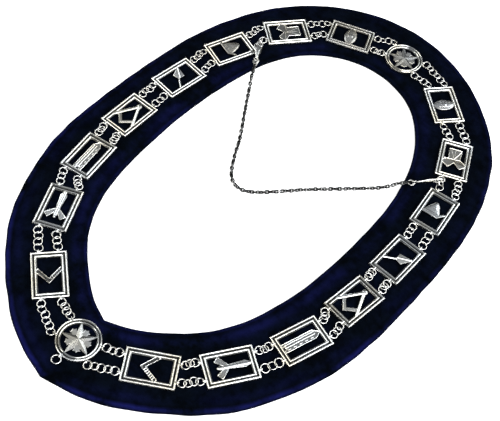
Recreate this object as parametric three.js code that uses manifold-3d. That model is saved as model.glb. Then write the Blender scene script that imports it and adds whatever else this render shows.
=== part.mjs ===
// Lodge officer's collar: a padded velvet band that carries a double chain of openwork plates.
// Millimetres. The back of the neck is at +Y, the point on the chest at -Y, and the band lies on z = 0.
import * as THREE from "three";
import { mergeVertices } from "three/addons/utils/BufferGeometryUtils.js";
import Module from "manifold-3d";

const wasm = await Module();
wasm.setup();

// Velvet band. The chain sets its length: so many steps from one side plate to the next.
const COLLAR_LENGTH_STEPS = 8.892;
const COLLAR_WIDTH = 302.4;
const BAND_THICK = 4.6;
const BAND_EDGE_ROUND = 2.2;
const BAND_SECTIONS = 58;
const EDGE_ROUND_STEPS = 2;

// Openwork plates, the room between two at the side, and the reach of an emblem's unit
// as shares of the window's width and length
const PLATE_WIDTH = 27;
const PLATE_LENGTH = 39.4;
const PLATE_SPACING = 12.4;
const PLATE_THICK = 2.4;
const PLATE_BAR = 4.8;
const PLATE_LIFT = 0.3;
const EMBLEM_WIDE_SHARE = 1.552;
const EMBLEM_LONG_SHARE = 0.906;

// Round medallions, with the star's sizes as shares of the rim's bar and of its opening
const MEDALLION_OUTER = 33.4;
const MEDALLION_BAR = 3.8;
const MEDALLION_STEPS = 24;
const STAR_POINTS = 5;
const STAR_EDGE_THICK = 0.9;
const STAR_TIP_SHARE = 0.25;
const STAR_NOTCH_SHARE = 0.4;
const STAR_RISE = 0.4;
const LEAF_THICK = 1;

// Shares of a plate's thickness between which an emblem's body and its ribs stand
const BODY_LEVELS = { from: 0.3, to: 0.75 };
const RIB_LEVELS = { from: 0.5, to: 0.95 };

// Jump rings and the lugs that hold them
const RING_OUTER = 6.8;
const RING_WIRE = 0.95;
const RING_SIDES = 10;
const WIRE_SIDES = 5;
const RING_SINK = 0.3;
const RING_TILT_SPARE = 0.8;
const RING_SWING_MOST = 16;
const LUG_OFFSET = 7.2;
const LUG_THICK = 1;
const LUG_WALL = 0.6;
const LUG_ROOT = 1.2;
const LUG_FLOOR = 0.45;
const LUG_CLEARANCE = 0.4;
const HANGING_RING_OUTER = 7.4;
const LIFT_STEP = 0.01;
const LIFT_STEPS = 200;
const TILT_MOST = 30;
const WIRE_POINTS = 90;

// Strands shown by their outer form
const STRAND_WIDTH = 5.6;
const STRAND_THICK = 2;
const STRAND_SIDES = 8;
const STRAND_STEP = 5;
const PIECE_GAP = 0.3;

// Clasps
const CLASP_LENGTH = 26;
const CLASP_WIDTH = 6.2;
const CLASP_THICK = 1.6;
const CLASP_HOLE_LENGTH = 5.4;
const CLASP_HOLE_WIDTH = 3;
const CLASP_RIM = 1.2;
const CLASP_EYE = 2.2;
const CLASP_EYE_WALL = 0.9;
const CLASP_HOLE_SIDES = 8;
const CLASP_EYE_SIDES = 6;

// Safety chain
const SAFETY_THICK = 2.2;
const SAFETY_LIFT = 0.1;
const SAFETY_SIDES = 8;
const SAFETY_STEP = 6;
const END_RING_OUTER = 5.8;
const END_RING_WIRE = 0.8;

// Edges of the band from the front to the back, in shares of the collar's length and half width. The left
// side lies a little wider at the back than the right; both share the front and back points.
const BAND_INNER_EDGE = {
  right: [
    { along: 0.132, across: 0 },
    { along: 0.1489, across: 0.1115 },
    { along: 0.1712, across: 0.2105 },
    { along: 0.2239, across: 0.374 },
    { along: 0.2843, across: 0.4785 },
    { along: 0.3423, across: 0.532 },
    { along: 0.3927, across: 0.5615 },
    { along: 0.4379, across: 0.574 },
    { along: 0.4994, across: 0.581 },
    { along: 0.561, across: 0.578 },
    { along: 0.6079, across: 0.569 },
    { along: 0.6612, across: 0.544 },
    { along: 0.7222, across: 0.493 },
    { along: 0.7855, across: 0.3885 },
    { along: 0.8384, across: 0.2212 },
    { along: 0.86, across: 0 },
  ],
  left: [
    { along: 0.147, across: 0.116 },
    { along: 0.1692, across: 0.218 },
    { along: 0.2202, across: 0.389 },
    { along: 0.2814, across: 0.502 },
    { along: 0.3407, across: 0.555 },
    { along: 0.3921, across: 0.581 },
    { along: 0.4376, across: 0.5935 },
    { along: 0.4993, across: 0.606 },
    { along: 0.5613, across: 0.604 },
    { along: 0.6089, across: 0.596 },
    { along: 0.6636, across: 0.577 },
    { along: 0.7281, across: 0.535 },
    { along: 0.7956, across: 0.4264 },
    { along: 0.8451, across: 0.2324 },
  ],
};

const BAND_OUTER_EDGE = {
  right: [
    { along: 0, across: 0 },
    { along: 0.0129, across: 0.155 },
    { along: 0.0328, across: 0.302 },
    { along: 0.0914, across: 0.554 },
    { along: 0.1588, across: 0.75 },
    { along: 0.2391, across: 0.879 },
    { along: 0.3171, across: 0.959 },
    { along: 0.3933, across: 0.991 },
    { along: 0.4994, across: 1 },
    { along: 0.6049, across: 0.991 },
    { along: 0.6829, across: 0.966 },
    { along: 0.7661, across: 0.902 },
    { along: 0.8505, across: 0.779 },
    { along: 0.9232, across: 0.575 },
    { along: 0.9766, across: 0.309 },
    { along: 1, across: 0 },
  ],
  left: [
    { along: 0.0129, across: 0.155 },
    { along: 0.0328, across: 0.302 },
    { along: 0.0914, across: 0.554 },
    { along: 0.1588, across: 0.75 },
    { along: 0.2391, across: 0.879 },
    { along: 0.3171, across: 0.959 },
    { along: 0.3933, across: 0.991 },
    { along: 0.4994, across: 1 },
    { along: 0.6049, across: 0.991 },
    { along: 0.6829, across: 0.966 },
    { along: 0.7661, across: 0.902 },
    { along: 0.8514, across: 0.783 },
    { along: 0.9278, across: 0.5865 },
    { along: 0.9821, across: 0.3159 },
  ],
};

// Places on the double chain, from the front to the back: shares of the collar's length and half width,
// and how far each plate's long side turns outward from the collar's length, in degrees.
const MEDALLION_PLACES = { front: { along: 0.0785, across: 0 }, back: { along: 0.9202, across: 0 } };
const PLATE_PLACES = {
  right: [
    { along: 0.1208, across: 0.3357, turn: 57 },
    { along: 0.2075, across: 0.5911, turn: 33 },
    { along: 0.3183, across: 0.7446, turn: 17 },
    { along: 0.4332, across: 0.7911, turn: 6 },
    { along: 0.5481, across: 0.7982, turn: 0 },
    { along: 0.6717, across: 0.7625, turn: -8 },
    { along: 0.7896, across: 0.6393, turn: -26 },
    { along: 0.8828, across: 0.3696, turn: -51 },
  ],
  left: [
    { along: 0.1254, across: 0.3518, turn: 50 },
    { along: 0.2222, across: 0.6107, turn: 26 },
    { along: 0.3312, across: 0.7429, turn: 10 },
    { along: 0.4455, across: 0.7929, turn: 2 },
    { along: 0.5721, across: 0.7946, turn: -5 },
    { along: 0.6946, across: 0.7429, turn: -18 },
    { along: 0.8077, across: 0.6071, turn: -37 },
    { along: 0.8898, across: 0.3268, turn: -67 },
  ],
};
const MEDALLION_LUG_TURNS = { back: 62, front: 117 };

// The safety chain's chosen points between its two end rings: shares of the collar's length and half width,
// and the climb from the floor towards the band's top face, in band thicknesses.
const SAFETY_ROUTE = [
  { along: 0.6867, across: -0.5463, climb: 1.109 },
  { along: 0.6759, across: -0.5291, climb: 0.957 },
  { along: 0.6639, across: -0.506, climb: 0.435 },
  { along: 0.6472, across: -0.4729, climb: 0.065 },
  { along: 0.6142, across: -0.4074, climb: 0 },
  { along: 0.5534, across: -0.2851, climb: 0 },
  { along: 0.5141, across: -0.2183, climb: 0 },
  { along: 0.4837, across: -0.1554, climb: 0 },
  { along: 0.4726, across: -0.1058, climb: 0 },
  { along: 0.4718, across: -0.0575, climb: 0 },
  { along: 0.4818, across: -0.002, climb: 0 },
  { along: 0.502, across: 0.0575, climb: 0 },
  { along: 0.5606, across: 0.207, climb: 0 },
  { along: 0.6125, across: 0.3545, climb: 0 },
  { along: 0.6498, across: 0.4564, climb: 0.065 },
  { along: 0.6639, across: 0.4927, climb: 0.435 },
  { along: 0.6743, across: 0.5179, climb: 0.957 },
];
const END_RING_PLACES = { left: { along: 0.6969, across: 0.5628 }, right: { along: 0.6828, across: 0.5403 } };

// How each clasp holds its ring, in degrees: the ring's tilt, how far round the ring it is held from its
// tilting line, the neighbouring rings' tilt, the clasp's roll and downward slope, and its end ring's tilt.
const CLASP_HOLDS = {
  left: { tilt: 70, heldAt: 0, beside: 10, roll: 110, slope: -3, endTilt: 45 },
  right: { tilt: 42, heldAt: 90, beside: -13, roll: 0, slope: 7, endTilt: 0 },
};

// Strands made of real links, and the one that the clasps hook into, by number from the front medallion.
const LINKED_STRAND_NUMBERS = [0];
const CLASP_STRAND_NUMBER = 6;

// Section of a frame bar: two beads with a groove between them, as shares of the bar's width and thickness.
const BAR_SECTION = [
  { across: 0, height: 0 },
  { across: 0, height: 0.7 },
  { across: 0.12, height: 0.97 },
  { across: 0.32, height: 0.97 },
  { across: 0.43, height: 0.6 },
  { across: 0.56, height: 0.6 },
  { across: 0.66, height: 0.86 },
  { across: 0.86, height: 0.86 },
  { across: 1, height: 0.55 },
  { across: 1, height: 0 },
];

const RADIANS = Math.PI / 180;
const plateBase = BAND_THICK + PLATE_LIFT;
const collarLength = COLLAR_LENGTH_STEPS * (PLATE_LENGTH + PLATE_SPACING);
const emblemWide = EMBLEM_WIDE_SHARE * (PLATE_WIDTH - 2 * PLATE_BAR);
const emblemLong = EMBLEM_LONG_SHARE * (PLATE_LENGTH - 2 * PLATE_BAR);
const medallionOpening = MEDALLION_OUTER / 2 - MEDALLION_BAR;
const ringRadius = (RING_OUTER - RING_WIRE) / 2;
const lugReach = 2 * LUG_CLEARANCE + RING_WIRE + LUG_WALL;
const eyeReach = LUG_CLEARANCE + RING_WIRE / 2;
const eyeHeight = plateBase + LUG_FLOOR + LUG_CLEARANCE + RING_WIRE / 2;
const lugTop = eyeHeight + RING_WIRE / 2 + LUG_CLEARANCE + LUG_WALL;

const root = new THREE.Group();
root.name = "masonic_collar";

const silver = () => new THREE.MeshStandardMaterial({ color: 0xc9cbcf, metalness: 0.95, roughness: 0.3 });
const velvet = () => new THREE.MeshStandardMaterial({ color: 0x0a0d2c, metalness: 0, roughness: 0.95 });

function toSolid(geometry) {
  const bare = geometry.clone();
  bare.deleteAttribute("normal");
  bare.deleteAttribute("uv");
  const merged = mergeVertices(bare, 1e-4);
  return new wasm.Manifold(
    new wasm.Mesh({
      numProp: 3,
      vertProperties: new Float32Array(merged.attributes.position.array),
      triVerts: new Uint32Array(merged.index.array),
    }),
  );
}

function toGeometry(solid) {
  const mesh = solid.getMesh();
  const places = new Float32Array(mesh.numVert * 3);
  for (let i = 0; i < mesh.numVert; i++)
    places.set(mesh.vertProperties.subarray(i * mesh.numProp, i * mesh.numProp + 3), i * 3);
  const geometry = new THREE.BufferGeometry();
  geometry.setAttribute("position", new THREE.BufferAttribute(places, 3));
  geometry.setIndex(new THREE.BufferAttribute(new Uint32Array(mesh.triVerts), 1));
  geometry.computeVertexNormals();
  return geometry;
}

const join = (solids) => solids.reduce((sum, solid) => sum.add(solid));

function addPiece(name, geometry, material) {
  const mesh = new THREE.Mesh(geometry, material);
  mesh.name = name;
  root.add(mesh);
}

// A closed grid of points, rows round one way and columns round the other, as a mesh.
function closedGrid(rows) {
  const width = rows[0].length;
  const places = rows.flat().flatMap((p) => [p.x, p.y, p.z]);
  const faces = [];
  rows.forEach((row, i) => {
    const next = ((i + 1) % rows.length) * width;
    row.forEach((_, j) => {
      const k = (j + 1) % width;
      faces.push(i * width + j, next + j, next + k, i * width + j, next + k, i * width + k);
    });
  });
  const geometry = new THREE.BufferGeometry();
  geometry.setAttribute("position", new THREE.Float32BufferAttribute(places, 3));
  geometry.setIndex(faces);
  return geometry;
}

// Place on the collar from a share of its length and of its half width.
function placeOf({ along, across }, side = 1) {
  return new THREE.Vector2((side * across * COLLAR_WIDTH) / 2, (along - 0.5) * collarLength);
}

// An edge of the band from the front point, up the right side, round the back and down the left.
function edgeLoop(table, count) {
  const right = table.right.map((row) => placeOf(row, 1));
  const left = table.left.map((row) => placeOf(row, -1)).reverse();
  const loop = [...right, ...left, right[0]].map((p) => new THREE.Vector3(p.x, p.y, 0));
  return new THREE.CatmullRomCurve3(loop, false, "centripetal").getSpacedPoints(count).slice(0, count);
}

// Distances in from an edge and heights of the band's rounded edge, from the floor to the top face.
function roundedEdge() {
  const bottom = [];
  const top = [];
  for (let i = 0; i <= EDGE_ROUND_STEPS; i++) {
    const angle = ((i / EDGE_ROUND_STEPS) * Math.PI) / 2;
    const inset = BAND_EDGE_ROUND * (1 - Math.sin(angle));
    const drop = BAND_EDGE_ROUND * (1 - Math.cos(angle));
    bottom.push({ inset, z: drop });
    top.unshift({ inset, z: BAND_THICK - drop });
  }
  return [...bottom, ...top];
}

function bandGeometry() {
  const inner = edgeLoop(BAND_INNER_EDGE, BAND_SECTIONS);
  const outer = edgeLoop(BAND_OUTER_EDGE, BAND_SECTIONS);
  const edge = roundedEdge();
  const rows = inner.map((from, i) => {
    const to = outer[i];
    const across = to.clone().sub(from).normalize();
    const outside = edge.map(({ inset, z }) => to.clone().addScaledVector(across, -inset).setZ(z));
    const inside = edge.map(({ inset, z }) => from.clone().addScaledVector(across, inset).setZ(z));
    return [...outside, ...inside.reverse()];
  });
  return closedGrid(rows);
}

// Outline in shares of the emblem's unit as a slab between two shares of the plate's thickness.
function slab(points, from = BODY_LEVELS.from, to = BODY_LEVELS.to) {
  const shape = new THREE.Shape(points.map(([x, y]) => new THREE.Vector2(x * emblemWide, y * emblemLong)));
  const depth = (to - from) * PLATE_THICK;
  const geometry = new THREE.ExtrudeGeometry(shape, { depth, bevelEnabled: false });
  geometry.translate(0, 0, from * PLATE_THICK);
  return toSolid(geometry);
}

// Corners of a straight strip from a to b.
function strip([ax, ay], [bx, by], width) {
  const length = Math.hypot(bx - ax, by - ay);
  const nx = (-(by - ay) / length) * (width / 2);
  const ny = ((bx - ax) / length) * (width / 2);
  return [
    [ax - nx, ay - ny],
    [bx - nx, by - ny],
    [bx + nx, by + ny],
    [ax + nx, ay + ny],
  ];
}

const rib = (a, b, width, top = RIB_LEVELS.to) => slab(strip(a, b, width), RIB_LEVELS.from, top);

// Points of an ellipse, or of a pointed lens when pointed is true.
function oval(cx, cy, rx, ry, count, pointed = false) {
  return Array.from({ length: count }, (_, i) => {
    const angle = (i / count) * 2 * Math.PI;
    const rise = Math.sin(angle) * (pointed ? Math.abs(Math.sin(angle)) ** 0.3 : 1);
    return [cx + rx * Math.cos(angle), cy + ry * rise];
  });
}

const mirrored = (points) => [
  ...points,
  ...points
    .filter(([x]) => x !== 0)
    .reverse()
    .map(([x, y]) => [-x, y]),
];

function squareEmblem() {
  const arms = slab([
    [-0.02, -0.28],
    [0.38, 0.15],
    [0.3, 0.23],
    [-0.02, -0.12],
    [-0.3, 0.21],
    [-0.38, 0.13],
  ]);
  const ticks = [0.3, 0.48, 0.66].map((share) => {
    const x = 0.02 + share * 0.36;
    const y = -0.26 + share * 0.4;
    return rib([x, y], [x - 0.05, y + 0.055], 0.035);
  });
  return [arms, ...ticks];
}

function levelEmblem() {
  const body = slab(
    mirrored([
      [0, -0.34],
      [0.045, -0.18],
      [0.2, -0.37],
      [0.34, -0.34],
      [0.1, -0.08],
      [0.065, 0.02],
      [0.09, 0.42],
      [0, 0.59],
    ]),
  );
  return [body, rib([0, -0.16], [0, 0.44], 0.05)];
}

function gaugeEmblem() {
  const body = slab([
    [-0.15, -0.58],
    [-0.06, -0.58],
    [-0.04, -0.49],
    [0.03, -0.49],
    [0.05, -0.58],
    [0.13, -0.58],
    [0.13, 0.4],
    [0, 0.6],
    [-0.15, 0.4],
  ]);
  return [body, rib([-0.08, -0.45], [-0.08, 0.4], 0.06), rib([0.07, -0.45], [0.07, 0.4], 0.03)];
}

function compassEmblem() {
  const head = slab(oval(0, 0.42, 0.075, 0.075, 8), 0.3, 0.95);
  const legs = [-1, 1].map((side) => slab(strip([0, 0.4], [side * 0.37, -0.31], 0.075), 0.3, 0.9));
  const arms = slab([
    [0, -0.47],
    [0.31, -0.16],
    [0.24, -0.09],
    [0, -0.33],
    [-0.24, -0.09],
    [-0.31, -0.16],
  ]);
  return [head, ...legs, arms];
}

function trowelEmblem() {
  const handle = slab(strip([-0.37, -0.25], [-0.02, -0.02], 0.065), 0.3, 0.85);
  const blade = slab([
    [-0.05, -0.05],
    [0.17, -0.1],
    [0.36, 0.25],
    [-0.05, 0.18],
  ]);
  return [handle, blade, rib([-0.04, 0.01], [0.3, 0.2], 0.035)];
}

function hiveEmblem() {
  const dome = slab([
    [-0.31, -0.13],
    [0.19, -0.13],
    [0.15, 0.05],
    [0.06, 0.25],
    [-0.03, 0.35],
    [-0.1, 0.35],
    [-0.18, 0.22],
    [-0.26, 0.04],
  ]);
  const base = slab(
    [
      [-0.35, -0.12],
      [-0.35, -0.2],
      [0.16, -0.2],
      [0.35, 0.03],
      [0.24, 0.01],
      [0.14, -0.12],
    ],
    0.3,
    0.95,
  );
  const lowBand = rib([-0.22, 0.02], [0.12, 0.02], 0.03, 0.88);
  const highBand = rib([-0.15, 0.17], [0.05, 0.17], 0.03, 0.88);
  return [dome, base, lowBand, highBand];
}

function apronEmblem() {
  const cloth = slab([
    [-0.16, -0.33],
    [0.01, -0.13],
    [0.2, -0.33],
    [0.36, -0.2],
    [0.36, -0.1],
    [0.19, 0.03],
    [0.21, 0.42],
    [-0.21, 0.42],
    [-0.19, 0.03],
    [-0.36, -0.08],
    [-0.36, -0.18],
  ]);
  const creases = [
    [[0.01, -0.02], [-0.14, 0.4]],
    [[0.01, -0.02], [0.01, 0.4]],
    [[0.01, -0.02], [0.16, 0.4]],
    [[0.01, -0.04], [-0.32, -0.15]],
    [[0.01, -0.04], [0.32, -0.15]],
  ];
  return [cloth, ...creases.map(([a, b]) => rib(a, b, 0.035))];
}

function eyeEmblem() {
  const lens = slab(oval(0, 0, 0.35, 0.2, 12, true));
  const iris = slab(oval(0, -0.01, 0.11, 0.1, 8), 0.5, 0.95);
  return [lens, iris, rib([-0.2, 0.11], [0.2, 0.11], 0.03)];
}

// From the front medallion to the back one. The trowel points outward on both sides.
const EMBLEMS = [
  { make: squareEmblem, mirrorLeft: false },
  { make: levelEmblem, mirrorLeft: false },
  { make: gaugeEmblem, mirrorLeft: false },
  { make: compassEmblem, mirrorLeft: false },
  { make: trowelEmblem, mirrorLeft: true },
  { make: hiveEmblem, mirrorLeft: false },
  { make: apronEmblem, mirrorLeft: false },
  { make: eyeEmblem, mirrorLeft: false },
];

// A lug for one ring, standing on the end face at y = 0 and reaching to +y.
function lugSolid() {
  const floor = plateBase;
  const holeFloor = floor + LUG_FLOOR;
  const holeTop = lugTop - LUG_WALL;
  const holeEnd = lugReach - LUG_WALL;
  const shape = new THREE.Shape([
    new THREE.Vector2(-LUG_ROOT, floor),
    new THREE.Vector2(lugReach, floor),
    new THREE.Vector2(lugReach, lugTop),
    new THREE.Vector2(-LUG_ROOT, lugTop),
    new THREE.Vector2(-LUG_ROOT, holeTop),
    new THREE.Vector2(holeEnd, holeTop),
    new THREE.Vector2(holeEnd, holeFloor),
    new THREE.Vector2(-LUG_ROOT, holeFloor),
  ]);
  const geometry = new THREE.ExtrudeGeometry(shape, { depth: LUG_THICK, bevelEnabled: false });
  geometry.translate(0, 0, -LUG_THICK / 2);
  geometry.rotateX(Math.PI / 2);
  geometry.rotateZ(Math.PI / 2);
  return toSolid(geometry);
}

function placedLug({ x, y, turn }) {
  return lugSolid().rotate([0, 0, turn]).translate([x, y, 0]);
}

// Lugs of a plate in its own frame: name, foot and turn about z in degrees.
const PLATE_LUGS = [
  { end: "back", across: 1, x: LUG_OFFSET, y: PLATE_LENGTH / 2, turn: 0 },
  { end: "back", across: -1, x: -LUG_OFFSET, y: PLATE_LENGTH / 2, turn: 0 },
  { end: "front", across: 1, x: LUG_OFFSET, y: -PLATE_LENGTH / 2, turn: 180 },
  { end: "front", across: -1, x: -LUG_OFFSET, y: -PLATE_LENGTH / 2, turn: 180 },
];

function medallionLug(turn) {
  const reach = MEDALLION_OUTER / 2;
  return { x: reach * Math.sin(turn * RADIANS), y: reach * Math.cos(turn * RADIANS), turn: -turn };
}

function plateFrame() {
  const corners = [
    [1, 1],
    [-1, 1],
    [-1, -1],
    [1, -1],
  ];
  const rows = corners.map(([sx, sy]) =>
    BAR_SECTION.map(({ across, height }) => {
      const inset = across * PLATE_BAR;
      const x = sx * (PLATE_WIDTH / 2 - inset);
      const y = sy * (PLATE_LENGTH / 2 - inset);
      return new THREE.Vector3(x, y, height * PLATE_THICK);
    }),
  );
  return toSolid(closedGrid(rows)).translate([0, 0, plateBase]);
}

function plateSolid({ make, mirrorLeft }, side) {
  let emblem = join(make()).translate([0, 0, plateBase]);
  if (side < 0 && mirrorLeft) emblem = emblem.mirror([1, 0, 0]);
  return join([plateFrame(), emblem, ...PLATE_LUGS.map(placedLug)]);
}

// A five pointed star with raised centre, its points held by the rim, and a small leaf in each gap.
function starSolid() {
  const tip = medallionOpening + STAR_TIP_SHARE * MEDALLION_BAR;
  const notch = STAR_NOTCH_SHARE * medallionOpening;
  const edge = (radius, index, count, z) => {
    const angle = (index / count) * 2 * Math.PI - Math.PI / 2;
    return new THREE.Vector3(radius * Math.cos(angle), radius * Math.sin(angle), z);
  };
  const low = plateBase + BODY_LEVELS.from * PLATE_THICK;
  const high = low + STAR_EDGE_THICK;
  const peak = plateBase + PLATE_THICK + STAR_RISE;
  const ring = Array.from({ length: 2 * STAR_POINTS }, (_, i) => [i % 2 ? notch : tip, i]);
  const places = [
    new THREE.Vector3(0, 0, low),
    new THREE.Vector3(0, 0, peak),
    ...ring.map(([radius, i]) => edge(radius, i, 2 * STAR_POINTS, low)),
    ...ring.map(([radius, i]) => edge(radius, i, 2 * STAR_POINTS, high)),
  ];
  const faces = ring.flatMap((_, i) => {
    const a = 2 + i;
    const b = 2 + ((i + 1) % ring.length);
    const c = a + ring.length;
    const d = b + ring.length;
    return [0, b, a, 1, c, d, a, b, d, a, d, c];
  });
  const geometry = new THREE.BufferGeometry();
  const numbers = places.flatMap((p) => [p.x, p.y, p.z]);
  geometry.setAttribute("position", new THREE.Float32BufferAttribute(numbers, 3));
  geometry.setIndex(faces);
  const leaf = toSolid(leafGeometry()).translate([0, 0, low]);
  const turns = Array.from({ length: STAR_POINTS }, (_, i) => 90 + (i * 360) / STAR_POINTS);
  return join([toSolid(geometry), ...turns.map((turn) => leaf.rotate([0, 0, turn]))]);
}

// Upper half of a small three pointed leaf, in shares of the medallion's opening.
const LEAF_OUTLINE = [
  { along: 0.78, across: 0 },
  { along: 0.69, across: 0.08 },
  { along: 0.67, across: 0.22 },
  { along: 0.56, across: 0.15 },
  { along: 0.26, across: 0.17 },
];

// A leaf along +x.
function leafGeometry() {
  const upper = LEAF_OUTLINE.map(({ along, across }) => [along, across]);
  const lower = upper.slice(1).reverse().map(([along, across]) => [along, -across]);
  const corners = [...upper, ...lower].map(
    ([along, across]) => new THREE.Vector2(along * medallionOpening, across * medallionOpening),
  );
  return new THREE.ExtrudeGeometry(new THREE.Shape(corners), { depth: LEAF_THICK, bevelEnabled: false });
}

function medallionSolid(lugTurns) {
  const rows = Array.from({ length: MEDALLION_STEPS }, (_, i) => {
    const angle = (i / MEDALLION_STEPS) * 2 * Math.PI;
    return BAR_SECTION.map(({ across, height }) => {
      const radius = MEDALLION_OUTER / 2 - across * MEDALLION_BAR;
      return new THREE.Vector3(radius * Math.cos(angle), radius * Math.sin(angle), height * PLATE_THICK);
    });
  });
  const rim = toSolid(closedGrid(rows)).translate([0, 0, plateBase]);
  return join([rim, starSolid(), ...lugTurns.map((turn) => placedLug(medallionLug(turn)))]);
}

// A jump ring. The frame's first axis is the line it tilts about, in the xy plane.
function ringSolid({ centre, heading, tilt, outer = RING_OUTER, wire = RING_WIRE }) {
  const torus = new THREE.TorusGeometry((outer - wire) / 2, wire / 2, WIRE_SIDES, RING_SIDES);
  const turned = toSolid(torus).rotate([tilt, 0, 0]).rotate([0, 0, heading]);
  return turned.translate([centre.x, centre.y, centre.z]);
}

// Points on the middle line of a ring's wire.
function wireLine({ centre, heading, tilt }) {
  const turn = new THREE.Euler(tilt * RADIANS, 0, heading * RADIANS, "ZYX");
  return Array.from({ length: WIRE_POINTS }, (_, i) => {
    const angle = (i / WIRE_POINTS) * 2 * Math.PI;
    const point = new THREE.Vector3(ringRadius * Math.cos(angle), ringRadius * Math.sin(angle), 0);
    return point.applyEuler(turn).add(centre);
  });
}

function closest(first, second) {
  const others = wireLine(second);
  return Math.min(...wireLine(first).map((p) => Math.min(...others.map((q) => p.distanceTo(q)))));
}

// Lifts a ring, from where it passes through its neighbours, until its wire meets each of theirs.
function liftToTouch(ring, neighbours) {
  const lifted = { ...ring, centre: ring.centre.clone() };
  const apart = () => Math.max(...neighbours.map((other) => closest(lifted, other)));
  for (let step = 0; step < LIFT_STEPS; step++) {
    if (apart() <= RING_WIRE - RING_SINK) break;
    lifted.centre.z += LIFT_STEP;
  }
  return lifted;
}

const headingOf = (from, to) => Math.atan2(to.y - from.y, to.x - from.x) / RADIANS;

// 0, -1, 1, -2, 2 and so on, to most.
function bothWays(most) {
  return Array.from({ length: 2 * most + 1 }, (_, i) => (i % 2 ? -1 : 1) * Math.ceil(i / 2));
}

// Ring centres from one lug's eye to the other's, evenly spaced.
function ringCentres(start, end) {
  const tryAt = (swing) => {
    const first = swungCentre(start, end.eye, swing);
    const last = swungCentre(end, start.eye, swing);
    const span = first.distanceTo(last);
    const links = Math.max(2, Math.ceil(span / (2 * ringRadius - RING_WIRE)));
    return { first, last, links, clear: (2 * span) / links >= 2 * ringRadius + RING_WIRE };
  };
  const tries = bothWays(RING_SWING_MOST).map(tryAt);
  const { first, last, links } = tries.find(({ clear }) => clear) ?? tries[0];
  return Array.from({ length: links + 1 }, (_, i) => first.clone().lerp(last, i / links));
}

// Centre of an end ring that hangs in a lug's eye and leans towards its strand.
function swungCentre({ eye, facing }, target, swing) {
  const wanted = headingOf(eye, target) - facing;
  const lean = THREE.MathUtils.clamp(((wanted + 540) % 360) - 180, -RING_SWING_MOST / 2, RING_SWING_MOST / 2);
  const angle = (facing + lean + swing) * RADIANS;
  const x = eye.x + ringRadius * Math.cos(angle);
  const y = eye.y + ringRadius * Math.sin(angle);
  return new THREE.Vector3(x, y, eyeHeight);
}

// Rings of one strand. A clasp's hold, where there is one, stands up one ring between two others.
function strandRings(start, end, hold) {
  const centres = ringCentres(start, end);
  const heading = headingOf(centres[0], centres.at(-1));
  const pitch = centres[0].distanceTo(centres[1]);
  const crossing = Math.sqrt(ringRadius ** 2 - (pitch / 2) ** 2);
  const tilt = Math.asin((RING_WIRE - RING_SINK) / (2 * crossing)) / RADIANS + RING_TILT_SPARE;
  const last = centres.length - 1;
  const leans = { 0: headingOf(start.eye, centres[0]), [last]: headingOf(centres[last], end.eye) };
  const rings = centres.map((centre, i) => {
    return { centre, heading: leans[i] ?? heading, tilt: i % 2 ? -tilt : tilt };
  });
  if (hold) standUp(rings, hold);
  return rings.map((ring, i) => {
    const neighbours = [rings[i - 1], rings[i + 1] ?? rings[i - 1]];
    return i % 2 ? liftToTouch(ring, neighbours) : ring;
  });
}

// The second ring of a strand is the one that a clasp holds.
const HELD_RING = 1;

function standUp(rings, { tilt, heldAt, beside, place }) {
  const held = rings[HELD_RING];
  if (heldAt === 0) held.heading = headingOf(held.centre, place);
  held.tilt = tilt;
  held.centre.z = BAND_THICK + PIECE_GAP + RING_WIRE / 2 + ringRadius * Math.sin(tilt * RADIANS);
  for (const index of [HELD_RING - 1, HELD_RING + 1])
    rings[index].tilt = tiltToTouch({ ...rings[index], tilt: beside }, held);
}

// The tilt nearest to a ring's own at which its wire meets another ring's.
function tiltToTouch(ring, other) {
  const tilts = bothWays(TILT_MOST).map((turn) => ring.tilt + turn);
  return tilts.find((tilt) => closest({ ...ring, tilt }, other) <= RING_WIRE - RING_SINK) ?? ring.tilt;
}

// A strand by its outer form, a flat rounded bar that stops short of both lugs.
function strandForm(start, end) {
  const height = plateBase + STRAND_THICK / 2;
  const stop = ({ eye, facing }, target) => {
    const corner = (STRAND_WIDTH / 2) * Math.abs(Math.sin((headingOf(eye, target) - facing) * RADIANS));
    const reach = lugReach - eyeReach + PIECE_GAP + corner;
    const x = eye.x + reach * Math.cos(facing * RADIANS);
    const y = eye.y + reach * Math.sin(facing * RADIANS);
    return new THREE.Vector3(x, y, height);
  };
  const route = new THREE.LineCurve3(stop(start, end.eye), stop(end, start.eye));
  const section = Array.from({ length: STRAND_SIDES }, (_, i) => {
    const angle = ((i + 0.5) / STRAND_SIDES) * 2 * Math.PI;
    return new THREE.Vector2((STRAND_THICK / 2) * Math.cos(angle), (STRAND_WIDTH / 2) * Math.sin(angle));
  });
  const steps = Math.max(2, Math.round(route.getLength() / STRAND_STEP));
  const options = { steps, extrudePath: route, bevelEnabled: false };
  return new THREE.ExtrudeGeometry(new THREE.Shape(section), options);
}

// Half widths of the clasp above and below its middle line, as shares of its length and half width.
const CLASP_OUTLINE = [
  { along: 0, above: 0.3, below: 0.3 },
  { along: 0.06, above: 0.72, below: 0.7 },
  { along: 0.18, above: 1, below: 0.92 },
  { along: 0.36, above: 0.97, below: 1 },
  { along: 0.55, above: 0.68, below: 0.9 },
  { along: 0.72, above: 0.46, below: 0.55 },
  { along: 0.84, above: 0.64, below: 0.64 },
  { along: 0.94, above: 0.64, below: 0.64 },
  { along: 1, above: 0.3, below: 0.3 },
];

const claspTip = -(CLASP_RIM + CLASP_HOLE_LENGTH / 2);
const claspEyeAlong = claspTip + CLASP_LENGTH - CLASP_EYE_WALL - CLASP_EYE / 2;

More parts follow.
